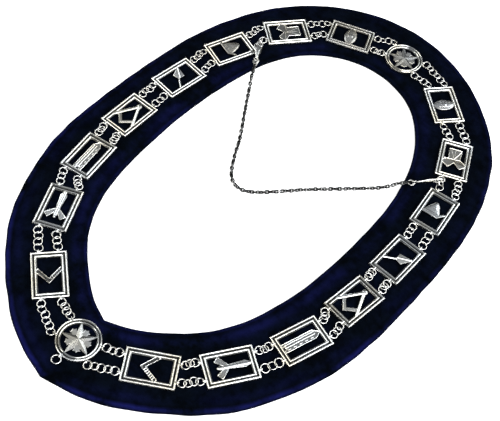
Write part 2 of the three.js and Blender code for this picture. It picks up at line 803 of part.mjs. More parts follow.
// A closed lobster clasp along +x: the wire that it holds passes its middle hole at the origin.
function claspSolid() {
  const half = CLASP_WIDTH / 2;
  const corner = (along, y) => new THREE.Vector2(claspTip + along * CLASP_LENGTH, y);
  const below = CLASP_OUTLINE.map((row) => corner(row.along, -row.below * half));
  const above = CLASP_OUTLINE.map((row) => corner(row.along, row.above * half)).reverse();
  const shape = new THREE.Shape([...below, ...above]);
  const hole = (x, rx, ry, count) => {
    const points = Array.from({ length: count }, (_, i) => {
      const angle = ((i + 0.5) / count) * 2 * Math.PI;
      return new THREE.Vector2(x + rx * Math.cos(angle), ry * Math.sin(angle));
    });
    return new THREE.Path(points);
  };
  shape.holes.push(hole(0, CLASP_HOLE_LENGTH / 2, CLASP_HOLE_WIDTH / 2, CLASP_HOLE_SIDES));
  shape.holes.push(hole(claspEyeAlong, CLASP_EYE / 2, CLASP_EYE / 2, CLASP_EYE_SIDES));
  const geometry = new THREE.ExtrudeGeometry(shape, { depth: CLASP_THICK, bevelEnabled: false });
  geometry.translate(0, 0, -CLASP_THICK / 2);
  return toSolid(geometry);
}

// Middle of the wire where a clasp holds a ring.
function heldWire({ centre, heading, tilt }, heldAt) {
  const turn = new THREE.Euler(tilt * RADIANS, 0, heading * RADIANS, "ZYX");
  const angle = heldAt * RADIANS;
  const point = new THREE.Vector3(ringRadius * Math.cos(angle), ringRadius * Math.sin(angle), 0);
  return point.applyEuler(turn).add(centre);
}

// Pieces of the double chain with where they lie and the lugs that they carry.
function seatOfPlate(place, side) {
  const spot = placeOf(place, side);
  return { x: spot.x, y: spot.y, turn: -side * place.turn };
}

const MEDALLION_LUGS = ["back", "front"].flatMap((end) =>
  [-1, 1].map((side) => ({ end, side, ...medallionLug(side * MEDALLION_LUG_TURNS[end]) })),
);

function seatOfMedallion(place) {
  const spot = placeOf(place);
  return { x: spot.x, y: spot.y, turn: 0 };
}

// The eye of a lug and the way it faces, in degrees from +x.
function eyeOf(seat, lug) {
  const facing = 90 + lug.turn + seat.turn;
  const foot = new THREE.Vector2(lug.x, lug.y).rotateAround(new THREE.Vector2(), seat.turn * RADIANS);
  const x = seat.x + foot.x + eyeReach * Math.cos(facing * RADIANS);
  const y = seat.y + foot.y + eyeReach * Math.sin(facing * RADIANS);
  return { eye: new THREE.Vector3(x, y, eyeHeight), facing };
}

function plateEye(seat, end, side, row) {
  const across = row === "outer" ? side : -side;
  return eyeOf(seat, PLATE_LUGS.find((lug) => lug.end === end && lug.across === across));
}

function medallionEye(seat, side, end) {
  return eyeOf(seat, MEDALLION_LUGS.find((lug) => lug.end === end && lug.side === side));
}

const put = (solid, seat) => solid.rotate([0, 0, seat.turn]).translate([seat.x, seat.y, 0]);

const seats = {
  front: seatOfMedallion(MEDALLION_PLACES.front),
  back: seatOfMedallion(MEDALLION_PLACES.back),
};
const SIDES = { left: -1, right: 1 };

addPiece("velvet_collar", bandGeometry(), velvet());

const hangingTurn = 180;
const jointTurns = MEDALLION_LUGS.map((lug) => -lug.turn);
const frontMedallion = put(medallionSolid([...jointTurns, hangingTurn]), seats.front);
addPiece("medallion_front", toGeometry(frontMedallion), silver());
addPiece("medallion_back", toGeometry(put(medallionSolid(jointTurns), seats.back)), silver());

const hangingEye = eyeOf(seats.front, medallionLug(hangingTurn));
const hangingRadius = (HANGING_RING_OUTER - RING_WIRE) / 2;
const hangingCentre = hangingEye.eye.clone().add(new THREE.Vector3(0, -hangingRadius, 0));
const hangingRing = { centre: hangingCentre, heading: -90, tilt: 0, outer: HANGING_RING_OUTER };
addPiece("hanging_ring", toGeometry(ringSolid(hangingRing)), silver());

const heldRings = {};
for (const [sideName, side] of Object.entries(SIDES)) {
  const plates = PLATE_PLACES[sideName].map((place) => seatOfPlate(place, side));
  plates.forEach((seat, i) => {
    const solid = put(plateSolid(EMBLEMS[i], side), seat);
    addPiece(`plate_${sideName}_${i + 1}`, toGeometry(solid), silver());
  });
  for (const row of ["inner", "outer"]) {
    for (let gap = 0; gap <= plates.length; gap++) {
      const start =
        gap === 0
          ? medallionEye(seats.front, side, row === "inner" ? "back" : "front")
          : plateEye(plates[gap - 1], "back", side, row);
      const end =
        gap === plates.length
          ? medallionEye(seats.back, side, row === "inner" ? "front" : "back")
          : plateEye(plates[gap], "front", side, row);
      const name = `rings_${sideName}_${gap}_${row}`;
      const hooked = row === "inner" && gap === CLASP_STRAND_NUMBER;
      if (hooked || LINKED_STRAND_NUMBERS.includes(gap)) {
        const hold = { ...CLASP_HOLDS[sideName], place: placeOf(END_RING_PLACES[sideName], side) };
        const rings = strandRings(start, end, hooked ? hold : null);
        addPiece(name, toGeometry(join(rings.map(ringSolid))), silver());
        if (hooked) heldRings[sideName] = rings[HELD_RING];
      } else {
        addPiece(name, strandForm(start, end), silver());
      }
    }
  }
}

// Clasps and the chain's end rings, from the wire of each held ring towards the end ring's place.
const endRadius = (END_RING_OUTER - END_RING_WIRE) / 2;
const endRings = {};
for (const [sideName, { heldAt, roll, slope, endTilt }] of Object.entries(CLASP_HOLDS)) {
  const held = heldWire(heldRings[sideName], heldAt);
  const heading = headingOf(held, placeOf(END_RING_PLACES[sideName], SIDES[sideName]));
  const level = new THREE.Vector3(Math.cos(heading * RADIANS), Math.sin(heading * RADIANS), 0);
  const eye = held.clone().addScaledVector(level, claspEyeAlong * Math.cos(slope * RADIANS));
  eye.z -= claspEyeAlong * Math.sin(slope * RADIANS);
  const clasp = claspSolid()
    .rotate([90 - roll, 0, 0])
    .rotate([0, slope, 0])
    .rotate([0, 0, heading])
    .translate([held.x, held.y, held.z]);
  addPiece(`clasp_${sideName}`, toGeometry(clasp), silver());
  const centre = eye.clone().addScaledVector(level, endRadius);
  endRings[sideName] = { centre, heading, tilt: endTilt, outer: END_RING_OUTER, wire: END_RING_WIRE };
}

// Where the safety chain's body meets an end ring, on the ring's far side from the clasp.
function chainStart({ centre, heading }) {
  const out = new THREE.Vector3(Math.cos(heading * RADIANS), Math.sin(heading * RADIANS), 0);
  return centre.clone().addScaledVector(out, endRadius);
}

function safetyChainSolid() {
  const middle = SAFETY_ROUTE.map((row) => {
    const { x, y } = placeOf(row);
    return new THREE.Vector3(x, y, SAFETY_THICK / 2 + SAFETY_LIFT + row.climb * BAND_THICK);
  });
  const points = [chainStart(endRings.left), ...middle, chainStart(endRings.right)];
  const route = new THREE.CatmullRomCurve3(points, false, "centripetal");
  const section = Array.from({ length: SAFETY_SIDES }, (_, i) => {
    const angle = (i / SAFETY_SIDES) * 2 * Math.PI;
    return new THREE.Vector2(Math.cos(angle), Math.sin(angle)).multiplyScalar(SAFETY_THICK / 2);
  });
  const steps = Math.round(route.getLength() / SAFETY_STEP);
  const options = { steps, extrudePath: route, bevelEnabled: false };
  const body = toSolid(new THREE.ExtrudeGeometry(new THREE.Shape(section), options));
  return join([body, ringSolid(endRings.left), ringSolid(endRings.right)]);
}

addPiece("safety_chain", toGeometry(safetyChainSolid()), silver());

export default root;
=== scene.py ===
"""Lodge officer's collar: a padded velvet band with a double chain of openwork plates.

Sizes are millimetres until a mesh is made, and then metres. The back of the neck is at +Y, the
point on the chest at -Y, and the band lies on z = 0.
"""

import logging
import math
from collections.abc import Callable
from dataclasses import dataclass, field, replace
from enum import Enum

import bpy
import numpy as np
from mathutils import Matrix, Vector


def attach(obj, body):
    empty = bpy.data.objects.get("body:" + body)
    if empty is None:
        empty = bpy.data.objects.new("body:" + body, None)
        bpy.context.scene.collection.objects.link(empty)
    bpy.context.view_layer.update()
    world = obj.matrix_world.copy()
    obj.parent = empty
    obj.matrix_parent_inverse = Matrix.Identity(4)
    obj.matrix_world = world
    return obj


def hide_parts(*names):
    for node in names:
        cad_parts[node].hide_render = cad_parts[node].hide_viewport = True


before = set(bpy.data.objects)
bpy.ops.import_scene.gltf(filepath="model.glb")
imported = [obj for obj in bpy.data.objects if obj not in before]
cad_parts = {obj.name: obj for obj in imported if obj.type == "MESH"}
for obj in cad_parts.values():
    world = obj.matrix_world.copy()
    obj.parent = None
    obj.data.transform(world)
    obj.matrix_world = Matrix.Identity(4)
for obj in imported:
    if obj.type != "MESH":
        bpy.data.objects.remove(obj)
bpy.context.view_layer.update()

LOG = logging.getLogger("collar")
MM = 0.001
SIDES = {"left": -1, "right": 1}
SEED = 41
UP = np.array([0.0, 0.0, 1.0])

# Points into which each stretch of a curve is cut before the curve is spaced evenly.
CURVE_STEPS = 60


# Meshes


def signed_volume(points: np.ndarray, faces: list[list[int]]) -> float:
    """Volume of a closed shell, positive if its faces point outwards.

    Each face is cut into a fan of triangles, and each triangle adds a sixth of the triple product
    of its corners.

    Args:
        points: Corners, one row each.
        faces: Corner numbers of each face.

    Returns:
        The volume in cubic millimetres.
    """
    fans = np.array([[f[0], f[k], f[k + 1]] for f in faces for k in range(1, len(f) - 1)])
    a, b, c = (points[fans[:, k]] for k in range(3))
    return float(np.einsum("ij,ij->", a, np.cross(b, c)) / 6)


class Gathered:
    """Closed shells gathered into one mesh, with an amount of painted shade kept at each corner."""

    def __init__(self) -> None:
        """Starts with nothing gathered."""
        self.points: list[np.ndarray] = []
        self.painted_shades: list[np.ndarray] = []
        self.layers: dict[str, np.ndarray] = {}
        self.faces: list[list[int]] = []
        self.count = 0

    def shell(self, points: np.ndarray, faces: list[list[int]], painted_shade: np.ndarray | float = 0.0) -> None:
        """Adds one closed shell and turns its faces outwards.

        Args:
            points: Corners, one row each.
            faces: Corner numbers of each face.
            painted_shade: How much painted shade darkens each corner, 0 to 1.
        """
        if signed_volume(points, faces) < 0:
            faces = [face[::-1] for face in faces]
        self.faces += [[self.count + k for k in face] for face in faces]
        self.points.append(points)
        self.painted_shades.append(np.broadcast_to(painted_shade, (len(points),)))
        self.count += len(points)

    def grid(self, rows: np.ndarray, loop: bool, painted_shade: np.ndarray | float = 0.0) -> None:
        """Adds a shell whose rows are closed rings of points.

        Args:
            rows: Points, shaped rings by points in a ring by 3.
            loop: True where the last ring joins the first, and False where both ends are capped.
            painted_shade: Painted shade at each point, shaped as the points are, or one number.
        """
        rings, width = rows.shape[:2]
        first = np.arange(rings if loop else rings - 1)[:, None] * width
        here = first + np.arange(width)
        ahead = (first + width) % (rings * width) + np.arange(width)
        quads = np.stack([here, ahead, np.roll(ahead, -1, 1), np.roll(here, -1, 1)], -1)
        faces = quads.reshape(-1, 4).tolist()
        if not loop:
            faces.append(list(range(width)))
            faces.append(list(range((rings - 1) * width, rings * width))[::-1])
        self.shell(rows.reshape(-1, 3), faces, np.broadcast_to(painted_shade, (rings, width)).reshape(-1))

    def move(self, turn: np.ndarray, place: np.ndarray) -> None:
        """Turns everything by a matrix and moves it to a place."""
        self.points = [points @ turn.T + place for points in self.points]

    def made(self, name: str, finish: bpy.types.Material, sharp: float) -> bpy.types.Object:
        """Makes the mesh an object of the scene, in metres.

        Args:
            name: Name of the object.
            finish: Its material.
            sharp: Angle in degrees over which an edge stays sharp.

        Returns:
            The object, at the origin.
        """
        mesh = bpy.data.meshes.new(name)
        mesh.from_pydata(np.concatenate(self.points) * MM, [], self.faces)
        mesh.polygons.foreach_set("use_smooth", np.ones(len(mesh.polygons), bool))
        mesh.set_sharp_from_angle(angle=math.radians(sharp))
        for key, values in {"painted_shade": np.concatenate(self.painted_shades), **self.layers}.items():
            layer = mesh.attributes.new(key, "FLOAT", "POINT")
            layer.data.foreach_set("value", values.astype(np.float32))
        mesh.materials.append(finish)
        mesh.validate()
        made = bpy.data.objects.new(name, mesh)
        bpy.context.scene.collection.objects.link(made)
        return made


def turned(rx: float = 0.0, ry: float = 0.0, rz: float = 0.0) -> np.ndarray:
    """Matrix that turns about x, then y, then z, by angles in degrees."""
    (cx, cy, cz), (sx, sy, sz) = np.cos(np.radians([rx, ry, rz])), np.sin(np.radians([rx, ry, rz]))
    about_x = np.array([[1, 0, 0], [0, cx, -sx], [0, sx, cx]])
    about_y = np.array([[cy, 0, sy], [0, 1, 0], [-sy, 0, cy]])
    about_z = np.array([[cz, -sz, 0], [sz, cz, 0], [0, 0, 1]])
    return about_z @ about_y @ about_x


def towards(degrees: float) -> np.ndarray:
    """Level vector of length 1 at an angle from +x."""
    angle = math.radians(degrees)
    return np.array([math.cos(angle), math.sin(angle), 0.0])


def bell(distance: np.ndarray, line: np.ndarray | float, wide: float) -> np.ndarray:
    """1 on a line and less on both sides: e to the power of minus ((distance - line) / wide) squared."""
    return np.exp(-(((distance - line) / wide) ** 2))


def round_angles(count: int) -> np.ndarray:
    """Angles in radians, evenly spaced round a full turn."""
    return np.arange(count) / count * 2 * math.pi


def ring_shell(radius: float, wire: float, steps: int, sides: int) -> np.ndarray:
    """Rows of a round ring in the xy plane.

    A point lies at radius plus the wire's half thickness times the cosine of the angle round the
    wire, and as high as that half thickness times its sine.
    """
    around, section = round_angles(steps)[:, None], round_angles(sides)[None, :]
    reach = radius + wire / 2 * np.cos(section)
    height = np.broadcast_to(wire / 2 * np.sin(section), (steps, sides))
    return np.stack([reach * np.cos(around), reach * np.sin(around), height], -1)


def swept(
    line: np.ndarray,
    wide: np.ndarray | float,
    thick: np.ndarray | float,
    up: np.ndarray,
    sides: int,
    loop: bool,
) -> np.ndarray:
    """Rows of an elliptic section carried along a line of points.

    Each ring lies across the line: the point plus the half width times the cosine along the side
    direction, plus the half thickness times the sine along the direction square to both.

    Args:
        line: Points of the middle line.
        wide: Half width at each point.
        thick: Half thickness at each point.
        up: A direction that is never along the line, one for all points or one each.
        sides: Points round a section.
        loop: True where the line closes on itself.

    Returns:
        Points, shaped line by sides by 3.
    """
    if loop:
        along = np.roll(line, -1, 0) - np.roll(line, 1, 0)
    else:
        along = np.gradient(line, axis=0)
    along /= np.linalg.norm(along, axis=1, keepdims=True)
    side = np.cross(along, np.broadcast_to(up, line.shape))
    side /= np.linalg.norm(side, axis=1, keepdims=True)
    above = np.cross(side, along)
    angle = round_angles(sides)[None, :, None]
    wide, thick = (np.broadcast_to(v, (len(line),))[:, None, None] for v in (wide, thick))
    return line[:, None] + side[:, None] * wide * np.cos(angle) + above[:, None] * thick * np.sin(angle)


def inset(outline: np.ndarray, distance: float) -> np.ndarray:
    """An outline moved inwards by a distance, with mitred corners.

    Each corner moves by the distance times the sum of its two edges' inward normals over one plus
    the normals' dot product.
    """
    ahead = np.roll(outline, -1, 0) - outline
    normal = np.stack([-ahead[:, 1], ahead[:, 0]], -1) / np.linalg.norm(ahead, axis=1, keepdims=True)
    before = np.roll(normal, 1, 0)
    share = np.maximum(1 + np.einsum("ij,ij->i", before, normal), 0.4)
    return outline + distance * (before + normal) / share[:, None]


def through(points: np.ndarray, count: int) -> np.ndarray:
    """Evenly spaced points on the centripetal Catmull-Rom curve through given ones.

    Knots are apart by the square root of the points' distance, the end tangents come from points
    mirrored beyond the ends, and each stretch is a cubic Hermite curve.

    Args:
        points: Points to pass through, in order, not closed.
        count: How many stretches of equal length to cut it into.

    Returns:
        The count + 1 points.
    """
    padded = np.concatenate([[2 * points[0] - points[1]], points, [2 * points[-1] - points[-2]]])
    p0, p1, p2, p3 = padded[:-3], padded[1:-2], padded[2:-1], padded[3:]
    pairs = ((p0, p1), (p1, p2), (p2, p3))
    d0, d1, d2 = (np.sqrt(np.linalg.norm(b - a, axis=1))[:, None] for a, b in pairs)
    m1 = ((p1 - p0) / d0 - (p2 - p0) / (d0 + d1) + (p2 - p1) / d1) * d1
    m2 = ((p2 - p1) / d1 - (p3 - p1) / (d1 + d2) + (p3 - p2) / d2) * d1
    t = np.linspace(0, 1, CURVE_STEPS, endpoint=False)[None, :, None]
    p1, p2, m1, m2 = (v[:, None] for v in (p1, p2, m1, m2))
    leaving = (2 * t**3 - 3 * t**2 + 1) * p1 + (t**3 - 2 * t**2 + t) * m1
    curve = leaving + (3 * t**2 - 2 * t**3) * p2 + (t**3 - t**2) * m2
    fine = np.concatenate([curve.reshape(-1, points.shape[1]), points[-1:]])
    gone = np.concatenate([[0], np.cumsum(np.linalg.norm(np.diff(fine, axis=0), axis=1))])
    wanted = np.linspace(0, gone[-1], count + 1)
    return np.stack([np.interp(wanted, gone, fine[:, k]) for k in range(points.shape[1])], -1)


@dataclass(frozen=True)
class Ripples:
    """Smooth seeded unevenness: its height, its number of sines, their most turns round and its seed."""

    height: float
    waves: int
    finest: float
    seed: int

    def at(self, u: np.ndarray, v: np.ndarray) -> np.ndarray:
        """Heights at places.

        They are a sum of sines over the root of their number, with whole numbers of turns in u, so
        that the last closes on the first where u goes from 0 to 1, and free ones in v.

        Args:
            u: Share of the way round.
            v: Any second place.

        Returns:
            The heights, shaped as u and v together.
        """
        dice = np.random.default_rng(SEED + self.seed)
        turns = np.round(dice.uniform(1, self.finest, self.waves))
        across = dice.uniform(-1.6, 1.6, self.waves)
        phase = dice.uniform(0, 2 * math.pi, self.waves)
        angle = 2 * math.pi * (turns * u[..., None] + across * v[..., None]) + phase
        return self.height * (np.sin(angle).sum(-1) / math.sqrt(self.waves))


# Shader maths


def operator(operation: str, swapped: bool = False) -> Callable[["Flow", "Flow | float"], "Flow"]:
    """An arithmetic method of Flow.

    Args:
        operation: The Math node's operation.
        swapped: True where the other value comes first.

    Returns:
        The method.
    """

    def method(self: "Flow", other: "Flow | float") -> "Flow":
        """Adds the node and gives its result."""
        return self.computed(operation, *((other, self) if swapped else (self, other)))

    return method


class Flow:
    """A shader socket whose arithmetic adds Math nodes."""

    def __init__(self, tree: bpy.types.NodeTree, socket: bpy.types.NodeSocket) -> None:
        """Wraps a socket of a node tree."""
        self.tree = tree
        self.socket = socket

    def computed(self, operation: str, *values: "Flow | float") -> "Flow":
        """Adds one Math node whose inputs are the given values."""
        node = self.tree.nodes.new("ShaderNodeMath")
        node.operation = operation
        for index, value in enumerate(values):
            if isinstance(value, Flow):
                self.tree.links.new(value.socket, node.inputs[index])
            else:
                node.inputs[index].default_value = value
        return Flow(self.tree, node.outputs[0])

    __add__ = __radd__ = operator("ADD")
    __mul__ = __rmul__ = operator("MULTIPLY")
    __sub__ = operator("SUBTRACT")
    __rsub__ = operator("SUBTRACT", True)
    __truediv__ = operator("DIVIDE")
    __rtruediv__ = operator("DIVIDE", True)
    __pow__ = operator("POWER")

    def limited(self) -> "Flow":
        """Kept between 0 and 1."""
        return self.computed("MINIMUM", self.computed("MAXIMUM", self, 0.0), 1.0)

    def between(self, low: float, high: float) -> "Flow":
        """0 at low, 1 at high, straight between and level outside."""
        return ((self - low) / (high - low)).limited()


class Finish:
    """A material with one Principled shader, and the ways to add nodes to it."""

    def __init__(self, name: str, **settings: object) -> None:
        """Makes the material and sets the shader's own sockets.

        Args:
            name: Name of the material.
            **settings: Values of the shader's sockets, with _ for a blank in their names.
        """
        self.material = bpy.data.materials.new(name)
        self.material.use_nodes = True
        self.tree = self.material.node_tree
        self.shader = self.tree.nodes["Principled BSDF"]
        for key, value in settings.items():
            self.shader.inputs[key.replace("_", " ").title().replace("Ior", "IOR")].default_value = value

    def node(self, kind: str, settings: dict | None = None, inputs: dict | None = None) -> bpy.types.Node:
        """Adds a node.

        Args:
            kind: Its type.
            settings: Its properties, set first.
            inputs: Values or links of its sockets, by name or number.

        Returns:
            The node.
        """
        node = self.tree.nodes.new(kind)
        for key, value in (settings or {}).items():
            setattr(node, key, value)
        for key, value in (inputs or {}).items():
            if isinstance(value, Flow):
                self.tree.links.new(value.socket, node.inputs[key])
            else:
                node.inputs[key].default_value = value
        return node

    def flow(self, node: bpy.types.Node, output: int | str = 0) -> Flow:
        """An output of a node, for arithmetic."""
        return Flow(self.tree, node.outputs[output])

    def layer(self, name: str) -> Flow:
        """The number that a layer keeps at the mesh's corners."""
        return self.flow(self.node("ShaderNodeAttribute", {"attribute_name": name}), "Fac")

    def place(self) -> Flow:
        """The point on the object, in metres."""
        return self.flow(self.node("ShaderNodeTexCoord"), "Object")

    def noise(self, place: Flow, scale: float, detail: float = 3.0, rough: float = 0.55) -> Flow:
        """Smooth noise of a number of cells per metre, about 0.25 to 0.75."""
        inputs = {"Vector": place, "Scale": scale, "Detail": detail, "Roughness": rough}
        return self.flow(self.node("ShaderNodeTexNoise", inputs=inputs), 0)

    def blend(self, share: Flow | float, first: Flow | tuple, second: Flow | tuple) -> Flow:
        """Colour between two colours, the first where the share is 0."""
        colours = [c if isinstance(c, Flow) else (*c, 1) for c in (first, second)]
        inputs = {0: share, 6: colours[0], 7: colours[1]}
        return self.flow(self.node("ShaderNodeMix", {"data_type": "RGBA"}, inputs), 2)

    def feed(self, socket: str, value: Flow) -> None:
        """Links a value to a socket of the shader."""
        self.tree.links.new(value.socket, self.shader.inputs[socket])

    def bump(self, height: Flow, strength: float, distance: float) -> None:
        """Feeds the shader's normal from a height, whose unit is the distance in metres."""
        inputs = {"Height": height, "Strength": strength, "Distance": distance}
        self.feed("Normal", self.flow(self.node("ShaderNodeBump", inputs=inputs)))


@dataclass(frozen=True)
class Velvet:
    """Deep blue-black pile: a mottled nap with a painted blue sheen beside its edges, stronger towards the
    front, faint blue in random crushed patches, and painted shade along the stitching.
    """

    dark: tuple[float, float, float] = (0.0001, 0.0004, 0.0009)
    lit: tuple[float, float, float] = (0.0012, 0.0022, 0.0046)
    # Colour of the painted blue sheen beside the edges, and of faint random blue patches.
    blue: tuple[float, float, float] = (0.005, 0.006, 0.052)

    def material(self) -> bpy.types.Material:
        """Makes the pile's material.

        Returns:
            The material.
        """
        finish = Finish(
            "velvet_pile",
            roughness=0.9,
            specular_ior_level=0.008,
            sheen_weight=0.012,
            sheen_roughness=0.3,
            sheen_tint=(0.2, 0.28, 0.8, 1),
        )
        place = finish.place()
        drift = finish.noise(place, 26, 2, 0.5).between(0.4, 0.62)
        crushed = finish.noise(place, 110, 4, 0.62).between(0.36, 0.66)
        pile = finish.noise(place, 2600, 2, 0.7)
        painted_shade = finish.layer("painted_shade")
        # Painted sheen: blue is painted along the edge layer's lines beside both edges, in random patches.
        sheen_lines = finish.layer("edge")
        ground = finish.blend(crushed * 0.7 + pile * 0.3, self.dark, self.lit)
        # Share towards the front, where the lamps light the band and the painted sheen is strongest.
        front = finish.flow(finish.node("ShaderNodeSeparateXYZ", inputs={0: place}), "Y").between(0.2, -0.16)
        patches = (drift * 0.75 + crushed * 0.45 - 0.1).limited()
        painted_sheen_and_mottle = sheen_lines * patches * (0.25 + 0.75 * front) + 0.065 * drift * crushed
        cast = finish.blend(painted_sheen_and_mottle, ground, self.blue)
        # Painted shade darkens the grooves of the stitching.
        finish.feed("Base Color", finish.blend(painted_shade * 0.4, cast, (0.0004, 0.0005, 0.001)))
        finish.feed("Roughness", 0.82 + 0.15 * crushed)
        finish.bump(pile * 0.5 + crushed * 1.4 + drift * 1.5, 0.55, 0.0006)
        return finish.material


class Tone(Enum):
    """Casts of the silver plating: base colours of its light stretches and of its warm or dark ones."""

    CAST = ((0.76, 0.78, 0.79), (0.70, 0.66, 0.56))
    WIRE = ((0.74, 0.74, 0.73), (0.68, 0.66, 0.60))
    # The chain's light and near black stretches are a painted highlight and painted shade, in random
    # patches.
    CHAIN = ((0.36, 0.36, 0.36), (0.003, 0.003, 0.003))


@dataclass(frozen=True)
class Silver:
    """Silver plating: bright on what stands out, with painted shade making it dull and dark in the hollows,
    and a grain of tarnish darkening it at random.
    """

    tone: Tone
    roughness: float
    patch: float = 34.0
    tarnish_and_shade: tuple[float, float, float] = (0.01, 0.01, 0.01)

    def material(self) -> bpy.types.Material:
        """Makes the plating's material.

        Returns:
            The material.
        """
        light, warm = self.tone.value
        finish = Finish(f"silver_{self.tone.name.lower()}", metallic=1.0)
        place = finish.place()
        drift = finish.noise(place, self.patch, 2, 0.5).between(0.4, 0.62)
        wave = finish.noise(place, 42, 1, 0.5)
        grain = finish.noise(place, 900, 4, 0.6)
        fine = finish.noise(place, 5200, 2, 0.6)
        painted_shade = finish.layer("painted_shade")
        # Painted shade in the hollows and tarnish in a random grain darken the colour and roughen it.
        dull = (painted_shade * 1.1 + (grain - 0.56) * 0.7).limited()
        colour = finish.blend(drift * 0.8, light, warm)
        finish.feed("Base Color", finish.blend(dull, colour, self.tarnish_and_shade))
        finish.feed("Roughness", (self.roughness + 0.14 * (grain - 0.4) + 0.22 * dull).limited())
        finish.bump(wave * 0.25 + grain * 0.006 + fine * 0.002, 1.0, 0.001)
        return finish.material


# The collar's plan


@dataclass(frozen=True)
class Seat:
    """Where a plate or medallion lies and how it is turned, in millimetres and degrees."""

    x: float
    y: float
    turn: float = 0.0

    def matrix(self) -> np.ndarray:
        """The seat's turn as a matrix."""
        return turned(rz=self.turn)

    def place(self) -> np.ndarray:
        """The seat's place as a vector."""
        return np.array([self.x, self.y, 0.0])


@dataclass(frozen=True)
class Lug:
    """Foot of a lug in its piece's own frame, and the way it points from +y, in degrees."""

    x: float
    y: float
    turn: float


@dataclass(frozen=True)
class Eye:
    """Middle of the wire that a lug holds, and the way the lug faces from +x, in degrees."""

    point: np.ndarray
    facing: float


@dataclass
class Plan:
    """Sizes and places that the pieces share."""

    length: float = 460.6
    width: float = 302.4
    thick: float = 4.6
    plate: tuple[float, float, float] = (27.0, 39.4, 2.4)
    bar: float = 4.8
    lift: float = 0.3
    medallion: float = 33.4
    medallion_bar: float = 3.8
    ring_outer: float = 6.8
    wire: float = 0.95
    sink: float = 0.3
    tilt_spare: float = 0.8
    swing_most: int = 16
    lug_offset: float = 7.2
    lug_wall: float = 0.6
    lug_floor: float = 0.45
    clearance: float = 0.4
    lug_turns: dict[str, float] = field(default_factory=lambda: {"back": 62.0, "front": 117.0})

    # Along the collar as a share of its length, across as a share of its half width, and the turn outward.
    plates: dict[str, tuple] = field(
        default_factory=lambda: {
            "right": (
                (0.1208, 0.3357, 57), (0.2075, 0.5911, 33), (0.3183, 0.7446, 17), (0.4332, 0.7911, 6),
                (0.5481, 0.7982, 0), (0.6717, 0.7625, -8), (0.7896, 0.6393, -26), (0.8828, 0.3696, -51),
            ),
            "left": (
                (0.1254, 0.3518, 50), (0.2222, 0.6107, 26), (0.3312, 0.7429, 10), (0.4455, 0.7929, 2),
                (0.5721, 0.7946, -5), (0.6946, 0.7429, -18), (0.8077, 0.6071, -37), (0.8898, 0.3268, -67),
            ),
        }
    )
    medallions: dict[str, float] = field(default_factory=lambda: {"front": 0.0785, "back": 0.9202})
    end_rings: dict[str, tuple] = field(
        default_factory=lambda: {"left": (0.6969, 0.5628), "right": (0.6828, 0.5403)}
    )

    def __post_init__(self) -> None:
        """Works out the sizes that follow from the others."""
        self.base = self.thick + self.lift
        self.radius = (self.ring_outer - self.wire) / 2
        self.eye_reach = self.clearance + self.wire / 2
        self.eye_height = self.base + self.lug_floor + self.clearance + self.wire / 2
        self.lug_reach = 2 * self.clearance + self.wire + self.lug_wall
        self.lug_top = self.eye_height + self.wire / 2 + self.clearance + self.lug_wall

    def spot(self, along: float, across: float, side: int = 1) -> np.ndarray:
        """A place from shares of the collar's length and half width."""
        return np.array([side * across * self.width / 2, (along - 0.5) * self.length])

    def plate_seats(self, side: str) -> list[Seat]:
        """Seats of one side's plates, from the front to the back."""
        rows = self.plates[side]
        return [Seat(*self.spot(a, c, SIDES[side]), -SIDES[side] * turn) for a, c, turn in rows]

    def medallion_seat(self, end: str) -> Seat:
        """Seat of a medallion."""
        return Seat(*self.spot(self.medallions[end], 0))

    def plate_lugs(self) -> dict[tuple[str, int], Lug]:
        """Lugs of a plate by end and by the side of its middle line."""
        reach = self.plate[1] / 2
        return {
            (end, across): Lug(across * self.lug_offset, reach if end == "back" else -reach, turn)
            for end, turn in (("back", 0.0), ("front", 180.0))
            for across in (1, -1)
        }

    def medallion_lug(self, turn: float) -> Lug:
        """A medallion's lug at a turn from +y, clockwise."""
        angle, reach = math.radians(turn), self.medallion / 2
        return Lug(reach * math.sin(angle), reach * math.cos(angle), -turn)

    def medallion_lugs(self) -> dict[tuple[str, int], Lug]:
        """Lugs of a medallion that hold strands, by end and side."""
        return {
            (end, side): self.medallion_lug(side * turn)
            for end, turn in self.lug_turns.items()
            for side in (-1, 1)
        }

    def eye(self, seat: Seat, lug: Lug) -> Eye:
        """The eye of a lug of a seated piece."""
        facing = 90 + lug.turn + seat.turn
        foot = seat.matrix() @ np.array([lug.x, lug.y, 0]) + seat.place()
        return Eye(foot + self.eye_reach * towards(facing) + self.eye_height * UP, facing)

    def strand_eyes(self, side: str, gap: int, row: str) -> tuple[Eye, Eye]:
        """The two eyes that a strand joins, from the front to the back."""
        sign, seats = SIDES[side], self.plate_seats(side)
        across, near, far = (sign, "front", "back") if row == "outer" else (-sign, "back", "front")
        lugs, round_lugs = self.plate_lugs(), self.medallion_lugs()
        if gap == 0:
            start = self.eye(self.medallion_seat("front"), round_lugs[near, sign])
        else:
            start = self.eye(seats[gap - 1], lugs["back", across])
        if gap == len(seats):
            end = self.eye(self.medallion_seat("back"), round_lugs[far, sign])
        else:
            end = self.eye(seats[gap], lugs["front", across])
        return start, end


# Velvet band


